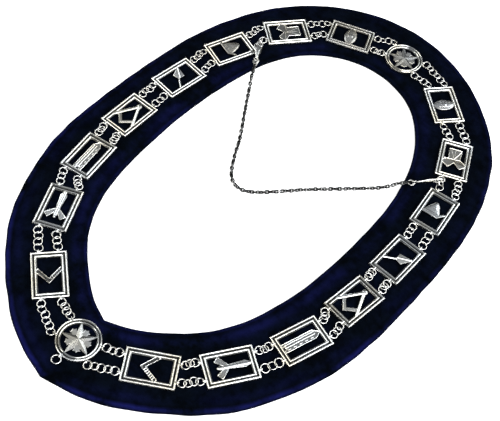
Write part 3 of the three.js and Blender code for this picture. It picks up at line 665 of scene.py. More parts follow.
@dataclass
class VelvetBand:
    """The padded band: turned-in edges, a line of stitching inside each, and an uneven nap."""

    plan: Plan
    stations: int = 760
    across_steps: int = 66
    round_steps: int = 9
    edge_round: float = 2.2
    stitch_outer: float = 4.6
    stitch_inner: float = 3.6
    stitch_depth: float = 0.6
    stitch_wide: float = 0.9
    pucker_wide: float = 3.2
    fall_depth: float = 0.55
    fall_wide: float = 3.0
    floor_steps: int = 6
    gathering: float = 0.558
    level_drop: float = 0.14
    most_drop: float = 2.2
    outer_fade: float = 9.0
    inner_fade: float = 6.0
    wander: Ripples = Ripples(0.35, 6, 26, 1)
    pucker: Ripples = Ripples(0.16, 9, 190, 2)
    swell: Ripples = Ripples(0.11, 14, 22, 3)
    dimples: Ripples = Ripples(0.06, 16, 90, 4)
    outer_wave: Ripples = Ripples(0.22, 10, 60, 5)
    inner_wave: Ripples = Ripples(0.12, 8, 44, 6)

    # Shares of the length and of the half width, from the front round to the back. Both sides share the
    # front and back points, which stand with the right side.
    inner_right: tuple = (
        (0.132, 0), (0.1489, 0.1115), (0.1712, 0.2105), (0.2239, 0.374), (0.2843, 0.4785), (0.3423, 0.532),
        (0.3927, 0.5615), (0.4379, 0.574), (0.4994, 0.581), (0.561, 0.578), (0.6079, 0.569),
        (0.6612, 0.544), (0.7222, 0.493), (0.7855, 0.3885), (0.8384, 0.2212), (0.86, 0),
    )
    inner_left: tuple = (
        (0.147, 0.116), (0.1692, 0.218), (0.2202, 0.389), (0.2814, 0.502), (0.3407, 0.555),
        (0.3921, 0.581), (0.4376, 0.5935), (0.4993, 0.606), (0.5613, 0.604), (0.6089, 0.596),
        (0.6636, 0.577), (0.7281, 0.535), (0.7956, 0.4264), (0.8451, 0.2324),
    )
    outer_shared: tuple = (
        (0.0129, 0.155), (0.0328, 0.302), (0.0914, 0.554), (0.1588, 0.75), (0.2391, 0.879),
        (0.3171, 0.959), (0.3933, 0.991), (0.4994, 1), (0.6049, 0.991), (0.6829, 0.966), (0.7661, 0.902),
    )
    outer_right: tuple = ((0, 0), *outer_shared, (0.8505, 0.779), (0.9232, 0.575), (0.9766, 0.309), (1, 0))
    outer_left: tuple = (*outer_shared, (0.8514, 0.783), (0.9278, 0.5865), (0.9821, 0.3159))

    # Lines of painted sheen, beside the outer and then the inner edge: strength, distance in
    # from the edge and width.
    sheen_lines: tuple = (((1.1, 2.2, 1.5), (0.15, 9.0, 3.2)), ((0.5, 1.8, 1.6), (0.4, 9.0, 3.8)))

    def edge(self, right_rows: tuple, left_rows: tuple) -> np.ndarray:
        """An edge of the band, from the front point up the right side and back down the left."""
        right = [self.plan.spot(*row, 1) for row in right_rows]
        left = [self.plan.spot(*row, -1) for row in left_rows[::-1]]
        return through(np.array([*right, *left, right[0]]), self.stations)[:-1]

    def section(self, room: np.ndarray) -> tuple[np.ndarray, np.ndarray, np.ndarray]:
        """The band's section at each station.

        Half ellipses turn from the floor up to the top at both edges. Between them the top goes from
        the outer to the inner edge, with its points gathered a little in the middle: share t moves
        by the gathering times (t minus its smooth step).

        Args:
            room: The band's width at each station.

        Returns:
            Distances in from the outer edge, heights, and how far each point belongs to the top,
            0 to 1, all shaped stations by points.
        """
        angle = np.linspace(-math.pi / 2, math.pi / 2, self.round_steps)[None, :]
        near = self.edge_round * (1 - np.cos(angle))
        half = self.plan.thick / 2
        height = half * (1 + np.sin(angle))
        t = np.linspace(0, 1, self.across_steps + 2)[None, 1:-1]
        smooth = 3 * t**2 - 2 * t**3
        span = room[:, None] - 2 * self.edge_round
        top = self.edge_round + span * (t + self.gathering * (t - smooth))
        back = self.edge_round + span * np.linspace(1, 0, self.floor_steps + 2)[None, 1:-1]
        ones = np.ones_like(room)[:, None]
        distance = np.concatenate([ones * near, top, room[:, None] - near[:, ::-1], back], 1)
        floor = np.zeros((1, self.floor_steps))
        flat = np.concatenate([height, np.full_like(t, self.plan.thick), height[:, ::-1], floor], 1)
        share_up = np.sin(angle).clip(0)
        upper = np.concatenate([share_up, np.ones_like(t), share_up[:, ::-1], floor], 1)
        return distance, ones * flat, ones * upper

    def build(self, finish: bpy.types.Material) -> bpy.types.Object:
        """Builds the band.

        The top sinks along each line of stitching by a bell curve of its distance, puckers beside
        it, falls a little towards the edges, and carries a slow unevenness. The edges themselves
        wave by a fraction of a millimetre, and the wave dies away inwards.

        Args:
            finish: The velvet's material.

        Returns:
            The band.
        """
        outer = self.edge(self.outer_right, self.outer_left)
        inner = self.edge(self.inner_right, self.inner_left)
        u = np.arange(self.stations) / self.stations
        way = inner - outer
        room = np.linalg.norm(way, axis=1)
        way /= room[:, None]
        distance, height, upper = self.section(room)
        v = distance / room[:, None]
        around = np.broadcast_to(u[:, None], v.shape)
        from_inner = room[:, None] - distance
        stitches = ((distance, self.stitch_outer), (from_inner, self.stitch_inner))
        sunk = np.zeros_like(v)
        for gap, line in stitches:
            line = line + self.wander.at(around, 0 * v)
            seam = bell(gap, line, self.stitch_wide)
            pucker = self.pucker.at(around, 0 * v) * bell(gap, line, self.pucker_wide)
            sunk += self.stitch_depth * seam + pucker * (1 - seam)
        sunk += self.fall_depth * bell(distance, 0, self.fall_wide)
        sunk += self.fall_depth * bell(from_inner, 0, self.fall_wide)
        rise = self.swell.at(around, v) + self.dimples.at(around, 3 * v)
        drop = (sunk + self.level_drop - rise).clip(0.02, self.most_drop)
        shift = self.outer_wave.at(u, 0 * u)[:, None] * np.exp(-distance / self.outer_fade)
        shift += self.inner_wave.at(u, 0 * u)[:, None] * np.exp(-from_inner / self.inner_fade)
        place = outer[:, None] + way[:, None] * (distance + shift)[..., None]
        points = np.concatenate([place, (height - upper * drop)[..., None]], -1)
        # Painted shade along both lines of stitching, kept on the top only.
        painted_shade = sum(bell(gap, line, self.stitch_wide) for gap, line in stitches)
        # Lines of painted sheen beside both edges, kept in the edge layer.
        edge = sum(
            sum(strength * bell(gap, line, wide) for strength, line, wide in lines)
            for gap, lines in zip((distance, from_inner), self.sheen_lines)
        )
        band = Gathered()
        band.grid(points, True, painted_shade * (upper > 0.5))
        band.layers["edge"] = edge.clip(0, 1).reshape(-1)
        made = band.made("velvet_band", finish, 180)
        return made


# Cast plates and medallions


class Relief(Enum):
    """How a figure's part rises from its outline."""

    FLAT = "level top with a rounded edge"
    DOME = "falls away from its middle on all sides"
    ROOF = "two slopes from a middle line"


@dataclass(frozen=True)
class Part:
    """One part of a figure: an outline in shares of the figure's unit, and its levels.

    Low and high are shares of the plate's thickness. A part that is sunk has a raised rim, and its
    middle lies that many millimetres below its high level.
    """

    outline: tuple
    low: float = 0.3
    high: float = 0.75
    relief: Relief = Relief.FLAT
    sunk: float = 0.0


def strip(start: tuple, end: tuple, wide: float) -> tuple:
    """Corners of a straight strip."""
    (ax, ay), (bx, by) = start, end
    away = math.hypot(bx - ax, by - ay)
    nx, ny = -(by - ay) / away * wide / 2, (bx - ax) / away * wide / 2
    return ((ax - nx, ay - ny), (bx - nx, by - ny), (bx + nx, by + ny), (ax + nx, ay + ny))


def rib(start: tuple, end: tuple, wide: float, high: float = 0.95) -> Part:
    """A thin raised strip."""
    return Part(strip(start, end, wide), 0.5, high, Relief.ROOF)


def oval(cx: float, cy: float, rx: float, ry: float, count: int, pointed: bool = False) -> tuple:
    """Points of an ellipse, or of a lens with pointed ends."""
    angle = round_angles(count)
    rise = np.sin(angle) * (np.abs(np.sin(angle)) ** 0.3 if pointed else 1)
    return tuple(zip(cx + rx * np.cos(angle), cy + ry * rise))


# Where the marks of four figures stand: the ticks along the square's arm, the knobs up the gauge, the
# bands up the hive and the lashes across the eye.
SQUARE_TICKS = (0.1, 0.25, 0.4, 0.55, 0.7, 0.85)
GAUGE_KNOBS = (0.0, 0.18, 0.36, 0.54, 0.72)
HIVE_BANDS = (0.0, 0.3, 0.6)
LASHES = (-0.18, -0.09, 0, 0.09, 0.18)


def level_leg(sign: int) -> tuple[tuple[float, float], ...]:
    """Outline of a leg of the level on one side, wider towards its foot."""
    leg = ((0.0, -0.14), (0.19, -0.4), (0.33, -0.27), (0.05, -0.03))
    return tuple((sign * across, along) for across, along in leg[::sign])


def figures() -> list[tuple[Part, ...]]:
    """The eight traditional figures, from the front medallion to the back one.

    Returns:
        Their parts: square, level, gauge, compasses, trowel, hive, apron and eye.
    """
    arms = ((-0.02, -0.28), (0.38, 0.15), (0.3, 0.23), (-0.02, -0.11), (-0.3, 0.22), (-0.39, 0.13))
    ticks = [
        ((0.05 + 0.32 * s, -0.21 + 0.35 * s), (-0.01 + 0.29 * s, -0.14 + 0.33 * s))
        for s in SQUARE_TICKS
    ]
    square = (Part(arms, sunk=0.7), *(rib(start, end, 0.035, 0.85) for start, end in ticks))
    level = (
        Part(((-0.045, -0.2), (0.045, -0.2), (0.1, 0.42), (0, 0.6), (-0.1, 0.42)), 0.3, 0.75),
        Part(strip((0, -0.3), (0, 0.54), 0.11), 0.4, 0.95, Relief.ROOF),
        *(Part(level_leg(s), 0.3, 0.8, sunk=0.3) for s in (-1, 1)),
        Part(oval(0, -0.33, 0.04, 0.04, 10), 0.3, 0.9, Relief.DOME),
    )
    ruler = (
        (-0.15, -0.58), (-0.06, -0.58), (-0.04, -0.49), (0.03, -0.49), (0.05, -0.58), (0.13, -0.58),
        (0.13, 0.4), (0, 0.6), (-0.15, 0.4),
    )
    gauge = (
        Part(ruler, 0.3, 0.7, sunk=0.5),
        *(Part(strip((x, -0.52), (x, 0.42), 0.045), 0.3, 0.82, Relief.ROOF) for x in (-0.085, -0.01)),
        *(Part(oval(0.06, knob - 0.42, 0.022, 0.06, 10), 0.3, 0.7, Relief.DOME) for knob in GAUGE_KNOBS),
    )
    compasses = (
        Part(oval(0, 0.42, 0.085, 0.085, 16), 0.3, 1.0, Relief.DOME),
        *(Part(strip((0, 0.4), (s * 0.37, -0.31), 0.095), 0.35, 0.95, Relief.ROOF) for s in (-1, 1)),
        Part(((0, -0.47), (0.31, -0.16), (0.24, -0.09), (0, -0.33), (-0.24, -0.09), (-0.31, -0.16))),
        *(rib((0.0, -0.445), (s * 0.29, -0.15), 0.022, 0.85) for s in (-1, 1)),
    )
    trowel = (
        Part(strip((-0.37, -0.25), (-0.02, -0.02), 0.07), 0.3, 0.9, Relief.ROOF),
        Part(((-0.05, -0.05), (0.17, -0.1), (0.36, 0.25), (-0.05, 0.18))),
        rib((-0.04, 0.02), (0.31, 0.215), 0.07),
    )
    dome = (
        (-0.31, -0.13), (0.19, -0.13), (0.15, 0.05), (0.06, 0.25), (-0.03, 0.35),
        (-0.1, 0.35), (-0.18, 0.22), (-0.26, 0.04),
    )
    foot = ((-0.35, -0.12), (-0.35, -0.2), (0.16, -0.2), (0.35, 0.03), (0.24, 0.01), (0.14, -0.12))
    bands = [((-0.26 + 0.25 * s, -0.06 + 0.36 * s), (0.15 - 0.2 * s, -0.06 + 0.36 * s)) for s in HIVE_BANDS]
    hive = (
        Part(dome, 0.3, 0.85, Relief.DOME),
        Part(foot, 0.3, 0.95),
        *(rib(start, end, 0.022, 0.9) for start, end in bands),
    )
    cloth = (
        (-0.16, -0.33), (0.01, -0.13), (0.2, -0.33), (0.36, -0.2), (0.36, -0.1), (0.19, 0.03),
        (0.21, 0.42), (-0.21, 0.42), (-0.19, 0.03), (-0.36, -0.08), (-0.36, -0.18),
    )
    apron = (
        Part(cloth, sunk=0.5),
        rib((-0.02, 0.0), (0.17, 0.36), 0.05, 0.8),
        *(rib((0.01, -0.02), (x, 0.36), 0.014, 0.58) for x in (-0.12, 0.0)),
        rib((-0.33, -0.02), (0.2, 0.0), 0.03),
        rib((0.01, -0.05), (0.34, -0.12), 0.03),
    )
    lashes = [((x, 0.10 - abs(x) * 0.2), (x * 1.25, 0.155 - abs(x) * 0.35)) for x in LASHES]
    eye = (
        Part(oval(0, 0, 0.35, 0.2, 28, True), 0.3, 0.85, Relief.DOME),
        Part(oval(0, -0.01, 0.11, 0.1, 16), 0.5, 1.0, Relief.DOME),
        *(rib(start, end, 0.02, 0.9) for start, end in lashes),
        rib((-0.2, -0.1), (0.2, -0.1), 0.025, 0.88),
    )
    return [square, level, gauge, compasses, trowel, hive, apron, eye]


@dataclass
class Castings:
    """The openwork plates and the star medallions, each soldered up as one piece."""

    plan: Plan
    finish: bpy.types.Material
    edge_soft: float = 0.28
    rim_wide: float = 0.62
    rim_rise: float = 0.1
    star_points: int = 5
    lug_wide: float = 0.5
    bead_samples: int = 26
    bead_power: float = 0.62
    circle_steps: int = 96
    figure_unit: tuple[float, float] = (1.552, 0.906)
    mirrored_left: int = 5
    dome_wall: float = 0.35
    roof_wall: float = 0.45
    ridge_wide: float = 0.12

    # Height, middle and half width of the frame bar's outer and inner bead, in shares.
    beads: tuple = ((0.52, 0.2, 0.2), (0.44, 0.76, 0.18))

    def rail(self) -> tuple[np.ndarray, np.ndarray, np.ndarray]:
        """Section of a frame bar: a broad outer bead, a groove and a narrow inner bead.

        Over the share t of the bar's width, each bead is half a cosine wave raised to the bead's
        power, standing on a web that slopes from the outer edge to the inner one.

        Returns:
            Shares of the bar's width, shares of the thickness, and the painted shade, darkest in the groove
            and at the inner edge.
        """
        t = np.linspace(0, 1, self.bead_samples)
        web = 0.46 - 0.06 * t
        outer, inner = (
            tall * np.cos(np.clip((t - middle) / half, -1, 1) * math.pi / 2) ** self.bead_power
            for tall, middle, half in self.beads
        )
        groove = bell(t, 0.48, 0.12)
        height = web + outer + inner - 0.06 * groove
        across = np.concatenate([[0], t, [1]])
        # Painted shade in the groove between the beads and at the bar's inner edge.
        shade_depth = 1.25 * groove + 0.8 * bell(t, 1, 0.05)
        return across, np.concatenate([[0], height, [0]]), np.concatenate([[0.5], shade_depth.clip(0, 1), [1]])

    def frame_bars(self, mesh: Gathered) -> None:
        """Carries the rail round the plate's rectangle, with mitred corners.

        Each side has rings at its two ends and just inside them, so that only the corner's own
        shading turns.
        """
        wide, long, thick = self.plan.plate
        across, height, painted_shade = self.rail()
        corners = np.array([[1, 1], [-1, 1], [-1, -1], [1, -1]])
        half = np.array([wide, long]) / 2
        mitres = corners[:, None] * (half - across[None, :, None] * self.plan.bar)
        after = np.roll(mitres, -1, 0)
        shares = np.array([0, 0.02, 0.06, 0.5, 0.94, 0.98])
        rows = mitres[:, None] + (after - mitres)[:, None] * shares[None, :, None, None]
        rows = rows.reshape(-1, len(across), 2)
        level = np.broadcast_to(self.plan.base + height * thick, rows.shape[:2])
        mesh.grid(np.concatenate([rows, level[..., None]], -1), True, painted_shade)

    def relief(self, mesh: Gathered, part: Part, unit: np.ndarray, base: float, thick: float) -> None:
        """Adds a figure's part.

        A level part's outline goes straight up and turns in over a quarter circle. A sunk one goes
        straight up to its middle's level and then over a half round rim. A domed one is drawn
        towards its middle by the cosine of an angle while it rises by its sine. A roofed strip is
        drawn onto its middle line.

        Args:
            mesh: Where it goes.
            part: The part.
            unit: Millimetres of the figure's unit across and along.
            base: Height of the plate's underside.
            thick: Thickness that the levels are shares of.
        """
        outline = np.array(part.outline) * unit
        x, y = outline.T
        if np.sum(x * np.roll(y, -1) - np.roll(x, -1) * y) < 0:
            outline = outline[::-1]
        low, high = base + part.low * thick, base + part.high * thick
        if part.sunk:
            angle = np.linspace(0, math.pi, 7)
            rings = [inset(outline, self.rim_wide / 2 * (1 - math.cos(a))) for a in angle]
            levels = high + self.rim_rise - (part.sunk + self.rim_rise) * (1 - np.sin(angle))
        elif part.relief is Relief.FLAT:
            angle = np.linspace(0, math.pi / 2, 4)
            rings = [inset(outline, self.edge_soft * (1 - math.cos(a))) for a in angle]
            levels = high - self.edge_soft * (1 - np.sin(angle))
        elif part.relief is Relief.DOME:
            middle = outline.mean(0)
            angle = np.radians([0, 18, 36, 54, 70, 82])
            rings = [middle + (outline - middle) * math.cos(a) for a in angle]
            wall = low + self.dome_wall * (high - low)
            levels = wall + (high - wall) * np.sin(angle)
        else:
            head, tail = outline[[0, 3]].mean(0), outline[[1, 2]].mean(0)
            spine = np.array([head, tail, tail, head])
            ends = spine + self.ridge_wide * (outline - spine)
            rings = [outline, outline + 0.25 * (ends - outline), ends]
            wall = low + self.roof_wall * (high - low)
            levels = np.array([wall, wall + 0.55 * (high - wall), high])
        rows = [np.column_stack([outline, np.full(len(outline), low)])]
        rows += [np.column_stack([ring, np.full(len(ring), level)]) for ring, level in zip(rings, levels)]
        # Painted shade: darkest at the outline's foot and fading upwards, and in a sunk middle growing with
        # its depth.
        shade_depth = np.concatenate([[1.0], np.linspace(0.6, 0, len(rings))])[:, None]
        if part.sunk:
            shade_depth[2:] = np.array([0.1, 0, 0, 0, 0.1, min(1.2 * part.sunk, 0.9)])[:, None]
        mesh.grid(np.array(rows), False, np.broadcast_to(shade_depth, (len(rows), len(outline))))

    def lug(self, mesh: Gathered, lug: Lug) -> None:
        """Adds a lug: a flat wire carried out, up and back over the ring's wire."""
        plan = self.plan
        wall = plan.lug_wall
        low, high = plan.base + plan.lug_floor / 2, plan.lug_top - wall / 2
        far = plan.lug_reach - wall / 2
        turn = np.linspace(-math.pi / 2, math.pi / 2, 9)
        middle, rise = (low + high) / 2, (high - low) / 2
        bend = np.column_stack([far - 1.0 + np.cos(turn), middle + rise * np.sin(turn)])
        foot = -1.2
        line = np.concatenate([[[foot, low]], [[0, low]], bend, [[0, high]], [[foot, high - 0.35]]])
        line = np.column_stack([np.zeros(len(line)), line])
        rows = swept(line, wall / 2, self.lug_wide, towards(0.0), 10, False)
        # A little painted shade on the lug.
        mesh.grid(rows @ turned(rz=lug.turn).T + np.array([lug.x, lug.y, 0]), False, 0.1)

    def plate(self, side: str, index: int, seat: Seat, parts: tuple[Part, ...]) -> bpy.types.Object:
        """Builds one openwork plate on its seat.

        Args:
            side: left or right.
            index: Its number from the front, from 1.
            seat: Where it lies.
            parts: Its figure.

        Returns:
            The plate.
        """
        wide, long, thick = self.plan.plate
        window = np.array([wide, long]) - 2 * self.plan.bar
        unit = window * np.array(self.figure_unit)
        mesh = Gathered()
        self.frame_bars(mesh)
        if side == "left" and index == self.mirrored_left:
            unit = unit * np.array([-1, 1])
        for part in parts:
            self.relief(mesh, part, unit, self.plan.base, thick)
        for lug in self.plan.plate_lugs().values():
            self.lug(mesh, lug)
        mesh.move(seat.matrix(), seat.place())
        made = mesh.made(f"plate_{side}_{index}_cast", self.finish, 38)
        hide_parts(f"plate_{side}_{index}")
        return made

    def star(self, mesh: Gathered) -> None:
        """Adds the star: a raised centre whose facets fall to the points and notches.

        Point k of ten lies at the tip's or the notch's radius at k tenths of a turn from -y, and
        three rings share each facet out so that it stays flat.
        """
        plan = self.plan
        opening = plan.medallion / 2 - plan.medallion_bar
        count = 2 * self.star_points
        angle = round_angles(count) - math.pi / 2
        radius = np.where(np.arange(count) % 2, 0.4 * opening, opening + 0.25 * plan.medallion_bar)
        outline = np.column_stack([radius * np.cos(angle), radius * np.sin(angle)])
        low = plan.base + 0.3 * plan.plate[2]
        edge, peak = low + 0.7, plan.base + plan.plate[2] + 0.5
        shares = np.array([1, 1, 0.66, 0.33, 0.015])
        levels = np.array([low, edge, edge + 0.34 * (peak - edge), edge + 0.67 * (peak - edge), peak])
        rows = [np.column_stack([outline * s, np.full(count, z)]) for s, z in zip(shares, levels)]
        # Painted shade: darkest at the star's foot and least at its peak.
        mesh.grid(np.array(rows), False, np.array([[0.9], [0.5], [0.24], [0.16], [0.1]]))

    def leaves(self, mesh: Gathered) -> None:
        """Adds a three pointed leaf in each notch of the star."""
        plan = self.plan
        opening = plan.medallion / 2 - plan.medallion_bar
        upper = ((0.78, 0), (0.69, 0.08), (0.67, 0.22), (0.56, 0.15), (0.26, 0.17))
        outline = (*upper, *((x, -y) for x, y in upper[:0:-1]))
        low, rise = 0.3, 1.0
        thick = plan.plate[2]
        for k in range(self.star_points):
            matrix = turned(rz=90 + k * 360 / self.star_points)[:2, :2]
            points = tuple(map(tuple, np.array(outline) @ matrix.T))
            self.relief(mesh, Part(points, low, low + rise / thick), np.full(2, opening), plan.base, thick)

    def medallion(self, end: str, hanging: float | None) -> bpy.types.Object:
        """Builds a medallion.

        Args:
            end: front or back.
            hanging: Turn of the lug for a hanging ring, if it has one.

        Returns:
            The medallion.
        """
        plan = self.plan
        mesh = Gathered()
        across, height, painted_shade = self.rail()
        angle = round_angles(self.circle_steps)[:, None]
        radius = plan.medallion / 2 - across[None, :] * plan.medallion_bar
        level = np.broadcast_to(plan.base + height * plan.plate[2], (self.circle_steps, len(across)))
        mesh.grid(np.stack([radius * np.cos(angle), radius * np.sin(angle), level], -1), True, painted_shade)
        self.star(mesh)
        self.leaves(mesh)
        lugs = list(plan.medallion_lugs().values())
        if hanging is not None:
            lugs.append(plan.medallion_lug(hanging))
        for lug in lugs:
            self.lug(mesh, lug)
        seat = plan.medallion_seat(end)
        mesh.move(seat.matrix(), seat.place())
        made = mesh.made(f"medallion_{end}_cast", self.finish, 12)
        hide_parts(f"medallion_{end}")
        return made

    def build(self) -> list[bpy.types.Object]:
        """Builds all plates and medallions."""
        made = [
            self.plate(side, index + 1, seat, parts)
            for side in SIDES
            for index, (seat, parts) in enumerate(zip(self.plan.plate_seats(side), figures()))
        ]
        return [*made, self.medallion("front", 180.0), self.medallion("back", None)]


# Rings, clasps and safety chain


@dataclass
class Ring:
    """A jump ring: its centre, the heading of the line it tilts about and its tilt in degrees."""

    centre: np.ndarray
    heading: float
    tilt: float
    outer: float = 6.8
    wire: float = 0.86

    @property
    def radius(self) -> float:
        """Radius of the wire's middle line."""
        return (self.outer - self.wire) / 2

    def matrix(self) -> np.ndarray:
        """Turn of the ring from the xy plane."""
        return turned(rx=self.tilt, rz=self.heading)

    def on_wire(self, angle: float | np.ndarray) -> np.ndarray:
        """Points on the wire's middle line at angles in degrees from the tilting line."""
        angle = np.radians(np.atleast_1d(angle))
        flat = np.column_stack([self.radius * np.cos(angle), self.radius * np.sin(angle), 0 * angle])
        return flat @ self.matrix().T + self.centre

    def add(self, mesh: Gathered, steps: int = 28, sides: int = 10) -> None:
        """Adds the ring to a mesh."""
        rows = ring_shell(self.radius, self.wire, steps, sides)
        # Painted shade on the wire's inner side.
        mesh.grid(rows @ self.matrix().T + self.centre, True, inner_side_shade(sides))


def inner_side_shade(sides: int) -> np.ndarray:
    """Painted shade round a ring's wire: most on the low side towards the ring's middle."""
    angle = round_angles(sides)
    return (0.1 - 0.7 * np.cos(angle) - 0.75 * np.sin(angle)).clip(0, 0.95)


def heading_of(start: np.ndarray, end: np.ndarray) -> float:
    """Heading from one point to another in degrees from +x."""
    return math.degrees(math.atan2(end[1] - start[1], end[0] - start[0]))


def both_sides(most: int) -> list[int]:
    """0, -1, 1, -2, 2 and so on, to most."""
    return [(-1 if i % 2 else 1) * math.ceil(i / 2) for i in range(2 * most + 1)]


@dataclass
class Strands:
    """The jump rings of all strands, linked through the lugs and through each other."""

    plan: Plan
    finish: bpy.types.Material
    clasp_gap: int = 6
    held_index: int = 1
    sway: float = 0.45
    least_sway: float = 0.3
    plain_outers: tuple[float, ...] = (6.8, 7.0, 7.2, 7.4)
    hanging_outer: float = 7.4
    lift_step: float = 0.02
    most_lift: float = 12.0

    # The held ring's tilt, where it is held and its neighbours' tilt, and then the clasp's roll and slope
    # and its end ring's tilt, all in degrees.
    holds: dict[str, dict[str, float]] = field(
        default_factory=lambda: {
            "left": {"tilt": 70, "held_at": 0, "beside": 10, "roll": 110, "slope": -3, "end_tilt": 22},
            "right": {"tilt": 42, "held_at": 90, "beside": -13, "roll": 0, "slope": 7, "end_tilt": 0},
        }
    )

    def apart(self, first: Ring, second: Ring) -> float:
        """Least distance between two rings' middle lines."""
        around = np.arange(90) * 4.0
        a, b = first.on_wire(around), second.on_wire(around)
        return float(np.sqrt(((a[:, None] - b[None]) ** 2).sum(-1)).min())

    def swung(self, eye: Eye, target: np.ndarray, swing: float) -> np.ndarray:
        """Centre of a ring that hangs in an eye and leans towards a target."""
        limit = self.plan.swing_most / 2
        lean = (heading_of(eye.point, target) - eye.facing + 540) % 360 - 180
        step = self.plan.radius * towards(eye.facing + min(max(lean, -limit), limit) + swing)
        return np.array([eye.point[0], eye.point[1], self.plan.eye_height]) + step

    def centres(self, start: Eye, end: Eye) -> np.ndarray:
        """Evenly spaced ring centres from one eye to the other."""
        plan, found = self.plan, None
        for swing in both_sides(plan.swing_most):
            first, last = self.swung(start, end.point, swing), self.swung(end, start.point, swing)
            span = float(np.linalg.norm(last - first))
            links = max(2, math.ceil(span / (2 * plan.radius - plan.wire)))
            found = found or (first, last, links)
            if 2 * span / links >= 2 * plan.radius + plan.wire:
                found = (first, last, links)
                break
        first, last, links = found
        return first + (last - first) * (np.arange(links + 1) / links)[:, None]

    def stretch(self, side: str, gap: int, row: str) -> float:
        """Share of the longest pitch that the rings of a strand can take up."""
        centres = self.centres(*self.plan.strand_eyes(side, gap, row))
        return float(np.linalg.norm(centres[1] - centres[0])) / (2 * self.plan.radius - self.plan.wire)

    def stand_up(self, rings: list[Ring], hold: dict[str, float], target: np.ndarray) -> None:
        """Stands up the held ring and tilts its neighbours until they meet it."""
        plan, held = self.plan, rings[self.held_index]
        if hold["held_at"] == 0:
            held.heading = heading_of(held.centre, target)
        held.tilt = hold["tilt"]
        held.centre[2] = plan.base + plan.wire / 2 + plan.radius * math.sin(math.radians(held.tilt))
        for index in (self.held_index - 1, self.held_index + 1):
            ring = rings[index]
            ring.tilt = hold["beside"]
            for turn in both_sides(30):
                tried = Ring(ring.centre, ring.heading, hold["beside"] + turn, ring.outer)
                if self.apart(tried, held) <= plan.wire - plan.sink:
                    ring.tilt = tried.tilt
                    break

    def strand(self, side: str, gap: int, row: str) -> list[Ring]:
        """Rings of one strand, from the front to the back.

        Rings lie tilted by turns one way and the other about the strand's heading, sway sideways by
        turns where no clasp holds them, and each second one is lifted until its wire meets both
        neighbours'.
        """
        plan = self.plan
        start, end = plan.strand_eyes(side, gap, row)
        centres = self.centres(start, end)
        heading = heading_of(centres[0], centres[-1])
        pitch = float(np.linalg.norm(centres[1] - centres[0]))
        crossing = math.sqrt(plan.radius**2 - (pitch / 2) ** 2)
        tilt = math.degrees(math.asin((plan.wire - plan.sink) / (2 * crossing))) + plan.tilt_spare
        last = len(centres) - 1
        clasped = row == "inner" and gap == self.clasp_gap
        if not clasped:
            dice = np.random.default_rng(SEED + 100 * (SIDES[side] + 2) + 10 * gap + len(row))
            reach = dice.uniform(self.least_sway, 1.0, last + 1)
            way = np.where(np.arange(last + 1) % 2, -1, 1) * reach * dice.choice([-1, 1])
            way[[0, -1]] = 0
            slack = math.sqrt(max((2 * plan.radius - plan.wire) ** 2 - pitch**2, 0)) / 2
            sway = min(max(self.sway, slack), 2 * self.sway)
            centres = centres + sway * way[:, None] * towards(heading + 90)
        leans = {0: heading_of(start.point, centres[0]), last: heading_of(centres[last], end.point)}
        rings = [
            Ring(centre.copy(), leans.get(i, heading), -tilt if i % 2 else tilt, plan.ring_outer)
            for i, centre in enumerate(centres)
        ]
        if clasped:
            self.stand_up(rings, self.holds[side], plan.spot(*plan.end_rings[side], SIDES[side]))
        for i in range(1, len(rings), 2):
            near = [rings[i - 1], rings[i + 1 if i < last else i - 1]]
            while max(self.apart(rings[i], other) for other in near) > plan.wire - plan.sink:
                rings[i].centre[2] += self.lift_step
                if rings[i].centre[2] > plan.eye_height + self.most_lift:
                    break
        return rings

    def build(self) -> list[bpy.types.Object]:
        """Builds all strands, and keeps the rings that the clasps hold.

        A plain strand takes the ring size that its length suits best.

        Returns:
            The strands.
        """
        made, self.held = [], {}
        plain = [replace(self, plan=replace(self.plan, ring_outer=outer)) for outer in self.plain_outers]
        for side in SIDES:
            for row in ("inner", "outer"):
                for gap in range(len(self.plan.plates[side]) + 1):
                    makers = [self] if gap in (0, self.clasp_gap) else plain
                    maker = max(makers, key=lambda one: one.stretch(side, gap, row))
                    rings = maker.strand(side, gap, row)
                    mesh = Gathered()
                    for ring in rings:
                        ring.add(mesh)
                    name = f"rings_{side}_{gap}_{row}"
                    piece = mesh.made(f"{name}_links", self.finish, 180)
                    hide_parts(name)
                    made.append(piece)
                    if row == "inner" and gap == self.clasp_gap:
                        self.held[side] = rings[self.held_index]
        return made

    def hanging(self) -> bpy.types.Object:
        """Builds the ring that hangs from the front medallion."""
        plan = self.plan
        eye = plan.eye(plan.medallion_seat("front"), plan.medallion_lug(180.0))
        centre = eye.point + np.array([0, -(self.hanging_outer - plan.wire) / 2, 0])
        mesh = Gathered()
        Ring(centre, -90, 0, self.hanging_outer).add(mesh)
        piece = mesh.made("hanging_ring_wire", self.finish, 180)
        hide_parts("hanging_ring")
        return piece


